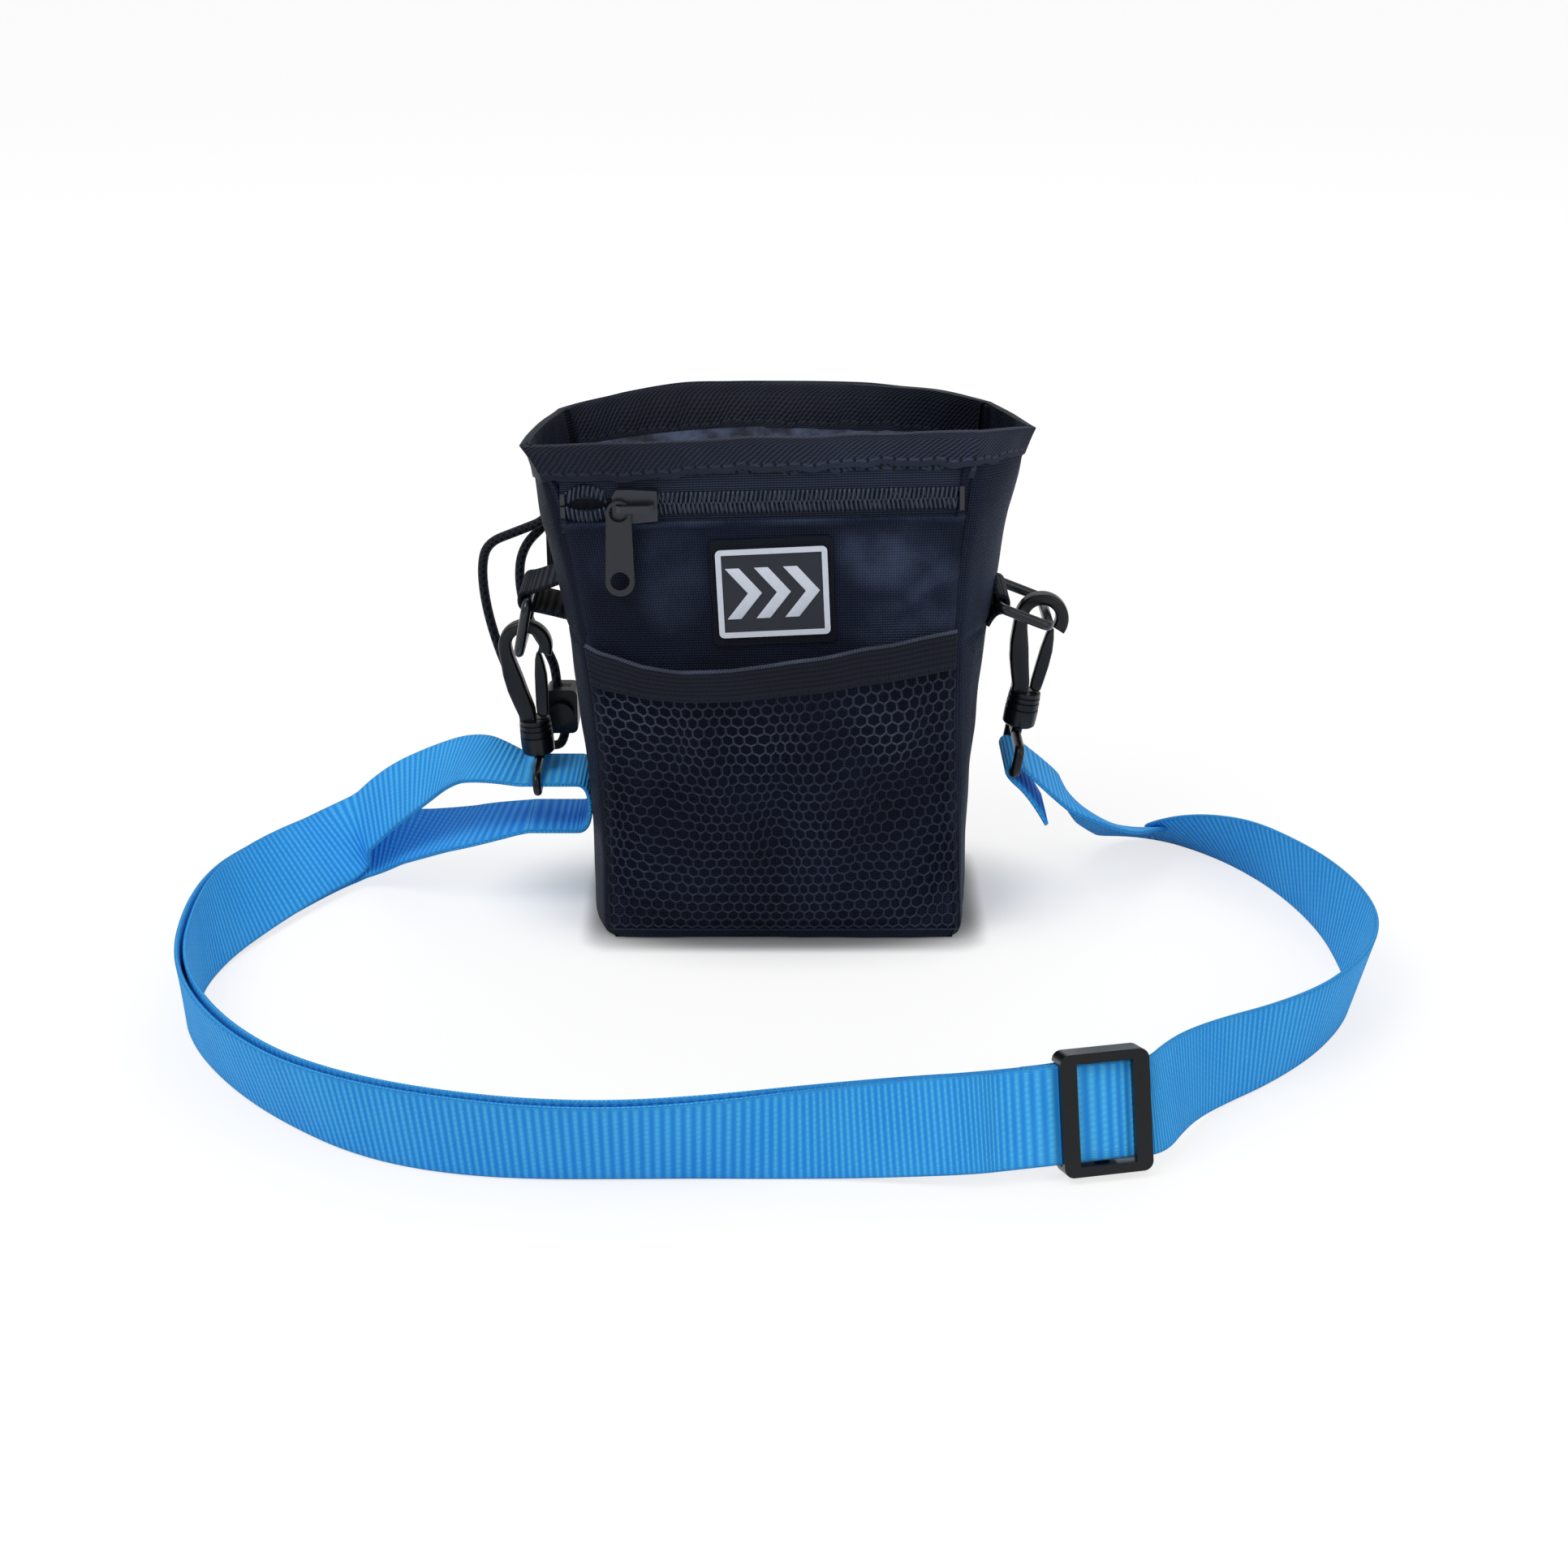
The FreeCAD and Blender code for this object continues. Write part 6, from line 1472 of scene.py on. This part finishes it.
def eased(x, line):
    """A height on a smooth line through points."""
    for (ax, az), (bx, bz) in zip(line, line[1:]):
        if x <= bx:
            share = max(0.0, (x - ax) / (bx - ax))
            return az + (bz - az) * (share * share * (3 - 2 * share) * 0.35 + share * 0.65)
    return line[-1][1]


def pocket_point(across, z, out=0.0):
    """A point of the pocket's outer sheet: it leaves the panel at both seams and bows out."""
    share = share_at(z)
    left = outline_spot("front_left", share)[0] + POCKET_MARGIN
    right = outline_spot("front_right", share)[0] - POCKET_MARGIN
    x = left + (right - left) * across
    middle = 1 - (2 * across - 1) ** 2
    rise = min(1.0, max(0.0, (z - POCKET_BOTTOM) / 0.016))
    bow = POCKET_BOW * (1 - (1 - rise) ** 2) * min(1.0, middle * 1.06)
    y = outline_spot("front_left", share)[1] - 0.0003 - bow - out
    return settled(x, y, share, 1 - rise * 0.5)


def net_point(s, t):
    """A point of the net with its slack: soft folds that hang from the band."""
    x = POCKET_SIDE + POCKET_WIDTH * s
    top = eased(x, BAND_LOW_LINE) - x * BAND_SLOPE + 0.002
    z = POCKET_BOTTOM + (top - POCKET_BOTTOM) * t
    flat = pocket_point(s, z)
    free = math.sin(math.pi * min(1.0, max(0.0, t))) * min(1.0, 8 * s, 8 * (1 - s))
    slack = 0.0026 * creases(flat, 26, (1.0, 1.0, 0.35), 7.0)
    slack += 0.0025 * creases(flat, 80, (1.0, 1.0, 0.22), 12.0)
    slack += ridges(flat, NET_FOLDS)
    drift = 0.026 * min(1.0, free * 2) * creases(flat, 42, (1.0, 1.0, 0.35), 19.0)
    sag = 0.0012 * free * creases(flat, 50, (0.5, 1.0, 1.0), 5.0)
    return pocket_point(s + drift, z + sag, free * slack)


# Spots where the net is painted paler as lit threads: place, half sizes and strength.
NET_LIT_SPOTS = [(0.036, 0.074, 0.026, 0.020, 1.0), (-0.036, 0.068, 0.022, 0.020, 0.8),
             (-0.008, 0.070, 0.020, 0.014, 0.7)]
NET_COLUMNS = 32
NET_ROWS = 27
row_rise = NET_PITCH * math.sqrt(3) / 2
cell = NET_PITCH / math.sqrt(3)
bpy.ops.object.select_all(action="DESELECT")
bpy.ops.mesh.primitive_circle_add(vertices=6, radius=cell, fill_type="NGON")
net = bpy.context.object
net.name = "pocket_net"
bpy.ops.object.mode_set(mode="EDIT")
bpy.ops.mesh.select_all(action="SELECT")
bpy.ops.mesh.duplicate()
bpy.ops.transform.translate(value=(NET_PITCH / 2, row_rise, 0))
bpy.ops.object.mode_set(mode="OBJECT")
apply(net, "ARRAY", count=NET_COLUMNS, use_relative_offset=False, use_constant_offset=True,
      constant_offset_displace=(NET_PITCH, 0, 0))
apply(net, "ARRAY", count=(NET_ROWS + 1) // 2, use_relative_offset=False, use_constant_offset=True,
      constant_offset_displace=(0, row_rise * 2, 0))
apply(net, "WELD", merge_threshold=cell * 0.05)
net_width = NET_PITCH * (NET_COLUMNS - 0.5)
net_height = row_rise * (NET_ROWS - 1)
for vertex in net.data.vertices:
    s = min(1.0, max(0.0, vertex.co.x / net_width))
    t = min(1.0, max(0.0, vertex.co.y / net_height))
    vertex.co = net_point(s, t)
apply(net, "WELD", merge_threshold=cell * 0.05)
apply(net, "WIREFRAME", thickness=NET_THREAD, offset=0.0, use_replace=True, use_even_offset=False)
face_outwards(False)
bpy.ops.object.shade_smooth_by_angle(angle=math.radians(70))

net_yarn = Finish("net yarn", specular_ior_level=0.3, sheen_weight=0.03, sheen_roughness=0.35)
net_place = net_yarn.place()
net_fuzz = net_yarn.cloud(1800.0, net_place, 2.0)
net_fade = net_yarn.cloud(35.0, net_place, 3.0)
net_tone = (net_fuzz * 0.4 + net_fade * 0.6).ramp(0.3, 0.9)
# Inside those spots the yarn takes a paler tone: painted light.
clear = pale_spots(net_yarn, NET_LIT_SPOTS)
net_dark = net_yarn.mix(net_tone, (0.0026, 0.0045, 0.0125, 1.0), (0.024, 0.037, 0.084, 1.0))
net_lit = net_yarn.mix(net_tone, (0.010, 0.014, 0.028, 1.0), (0.075, 0.095, 0.155, 1.0))
net_yarn.colour(net_yarn.mix(clear, net_dark, net_lit))
net_yarn.roughness(0.5 + 0.2 * net_fuzz)
net_yarn.relief(net_fuzz, 0.00012)
fit(net, "pouch", "mesh", net_yarn, "mesh_pocket")

# Elastic band: a ribbed woven elastic folded over the top of the net and sewn along its lower edge.
# It sags towards the left, where the pocket is looser, and its folded edge is painted pale as a highlight.

BAND_THICKNESS = 0.0015
BAND_STEPS = 90


def band_place(s, t):
    """A point of the band's middle: low edge to top edge, with a slight curl outwards at the top."""
    x = POCKET_SIDE + POCKET_WIDTH * s
    low = eased(x, BAND_LOW_LINE) - x * BAND_SLOPE
    high = eased(x, BAND_TOP_LINE) - x * BAND_SLOPE
    z = low + (high - low) * t
    curl = 0.0007 * t ** 3 + 0.0002 * math.sin(s * 40) * t
    return pocket_point(s, z, 0.0006 + curl)


band = cloth_grid("elastic_band_tape", BAND_STEPS, 16, band_place, POCKET_WIDTH, 0.010)
apply(band, "SOLIDIFY", thickness=BAND_THICKNESS, offset=0.0)
apply(band, "BEVEL", width=0.0005, segments=3, limit_method="ANGLE")
bpy.ops.object.shade_smooth_by_angle(angle=math.radians(60))
elastic = Finish("ribbed elastic", specular_ior_level=0.16, sheen_weight=0.03, sheen_roughness=0.35)
elastic_along, elastic_up, _ = elastic.split(elastic.cloth_map())
lines = 0.65 + 0.35 * (elastic_up / 0.00145).wave()
picks = (elastic_along / 0.0008).ripple()
seam_row = (abs(elastic_up - 0.0012) < 0.0003) * ((elastic_along / 0.003).part() < 0.75)
elastic_height = lines * 0.75 + picks * 0.25 + seam_row * 0.4
elastic_fade = elastic.cloud(60.0, elastic.place(), 3.0)
elastic_tone = (elastic_height * 0.7 + elastic_fade * 0.4).ramp(0.15, 1.1)
elastic.colour(elastic.mix(elastic_tone, (0.0010, 0.0015, 0.0038, 1.0), (0.0085, 0.0125, 0.027, 1.0)))
elastic.roughness(0.6 - 0.15 * elastic_height)
elastic.relief(elastic_height, 0.0004)
fit(band, "pouch", "binding", elastic, "elastic_band")

PIPING = 0.0006
PIPING_SHIFT = Vector((0, -0.0003, 0.0002))
piping_line = [band_place(step / BAND_STEPS, 1.0) + PIPING_SHIFT for step in range(BAND_STEPS + 1)]
piping = tube("elastic_band_piping", piping_line, PIPING, 8)
piping_yarn = Finish("piping yarn", specular_ior_level=0.35, sheen_weight=0.05)
piping_round, piping_along, _ = piping_yarn.split(piping_yarn.cloth_map())
piping_twist = (piping_along / 0.0008 + piping_round / 0.0019).ripple()
piping_cloud = piping_yarn.cloud(120.0, piping_yarn.place(), 3.0)
piping_highlight_tone = (piping_twist * 0.4 + piping_cloud * 0.8).ramp(0.3, 0.9)
# The piping's pale colour is a painted highlight along the band's folded edge, over its real gloss.
piping_yarn.colour(piping_yarn.mix(piping_highlight_tone, (0.010, 0.014, 0.028, 1.0), (0.055, 0.072, 0.125, 1.0)))
piping_yarn.roughness(0.5 - 0.1 * piping_twist)
piping_yarn.relief(piping_twist, 0.0002)
fit(piping, "pouch", "binding", piping_yarn)

# Rings and tabs: a black lacquered wire ring on each side, held in a loop of 22 mm black webbing.
# Both ends of the loop are sewn into the side panel.

ring_metal = lacquer("ring lacquer", (0.005, 0.007, 0.012, 1.0), (0.05, 0.06, 0.08, 1.0), 0.24, 0.35)
finish_nodes(ring_metal, "ring_left", "ring_right")
black_webbing = ribbed_webbing(
    "black webbing", (0.0014, 0.002, 0.0045, 1.0), (0.022, 0.029, 0.052, 1.0), 0.0012, 0.022, 0.04
)
TAB_WIDTH = 0.022
TAB_THICKNESS = 0.0013
TAB_SEWN = 0.0008
TAB_START = 0.0015
RING_RADIUS = 0.0015
RING_GAP = 0.0002
TAB_RADIUS = RING_RADIUS + RING_GAP + TAB_THICKNESS / 2


def tab(side, node, pivot, high, low):
    """A loop of webbing from the side panel round the ring's upper bar and back."""
    roots = []
    for z in (high, low):
        x = outline_spot(side, share_at(z))[0]
        roots.append(Vector((x - math.copysign(TAB_SEWN, x), 0, z)))
    outward = math.copysign(1.0, pivot.x)
    reach = TAB_RADIUS * 1.04
    bends = ((-TAB_START, reach), (reach, reach), (reach, -reach), (-TAB_START, -reach))
    route = [roots[0]] + [pivot + Vector((outward * x, 0, z)) for x, z in bends] + [roots[1]]
    line = smooth_line(route)
    piece = webbing(side + "_tab_webbing", line, even_sides(line, (0, 1, 0)), TAB_WIDTH, TAB_THICKNESS)
    fit(piece, "pouch", "black_webbing", black_webbing, node)


tab("left", "tab_left", Vector((-0.0746, 0, 0.0986)), 0.1045, 0.0935)
tab("right", "tab_right", Vector((0.0629, 0, 0.0976)), 0.106, 0.091)

# Eyelet, seam tab and belt loop.
# The eyelet is rolled brass under black lacquer; the seam tab is a folded end of webbing; the belt
# loop is a strip of the pouch cloth, doubled and sewn at both ends.

finish_nodes(ring_metal, "cord_eyelet")
SEAM_TAB_HEIGHT = 0.011
SEAM_TAB_THICKNESS = 0.0006
seam_route = [
    (-0.0600, 0.0159, 0.1065),
    (-0.0660, 0.0159, 0.1065),
    (-0.0709, 0.0159, 0.1065),
    (-0.0709, 0.0167, 0.1065),
    (-0.0660, 0.0167, 0.1065),
    (-0.0600, 0.0167, 0.1065),
]
seam_line = smooth_line(seam_route)
seam_sides = even_sides(seam_line, UP)
seam_tab = webbing("seam_tab_webbing", seam_line, seam_sides, SEAM_TAB_HEIGHT, SEAM_TAB_THICKNESS)
fit(seam_tab, "pouch", "black_fabric", black_webbing, "seam_tab")

LOOP_WIDTH = 0.038
LOOP_THICKNESS = 0.0014
LOOP_LOW = 0.044
LOOP_HIGH = 0.122
LOOP_FOOT = 0.009
LOOP_GAP = 0.0055


def back_face(z):
    """How far back the middle of the back panel is at a height."""
    return outline_spot("back", share_at(z))[1]


loop_mid = LOOP_THICKNESS / 2
low_y = back_face(LOOP_LOW) + loop_mid
high_y = back_face(LOOP_HIGH) + loop_mid
loop_route = [
    (0, low_y, LOOP_LOW),
    (0, low_y, LOOP_LOW + LOOP_FOOT * 0.8),
    (0, low_y + LOOP_GAP * 0.6, LOOP_LOW + LOOP_FOOT + LOOP_GAP * 0.5),
    (0, low_y + LOOP_GAP, LOOP_LOW + LOOP_FOOT + LOOP_GAP * 1.4),
    (0, (low_y + high_y) / 2 + LOOP_GAP, (LOOP_LOW + LOOP_HIGH) / 2),
    (0, high_y + LOOP_GAP, LOOP_HIGH - LOOP_FOOT - LOOP_GAP * 1.4),
    (0, high_y + LOOP_GAP * 0.6, LOOP_HIGH - LOOP_FOOT - LOOP_GAP * 0.5),
    (0, high_y, LOOP_HIGH - LOOP_FOOT * 0.8),
    (0, high_y, LOOP_HIGH),
]
loop_line = smooth_line(loop_route)
loop_sides = even_sides(loop_line, (1, 0, 0))
belt_loop = webbing("belt_loop_strip", loop_line, loop_sides, LOOP_WIDTH, LOOP_THICKNESS)
fit(belt_loop, "pouch", "black_fabric", polyester, "belt_loop")
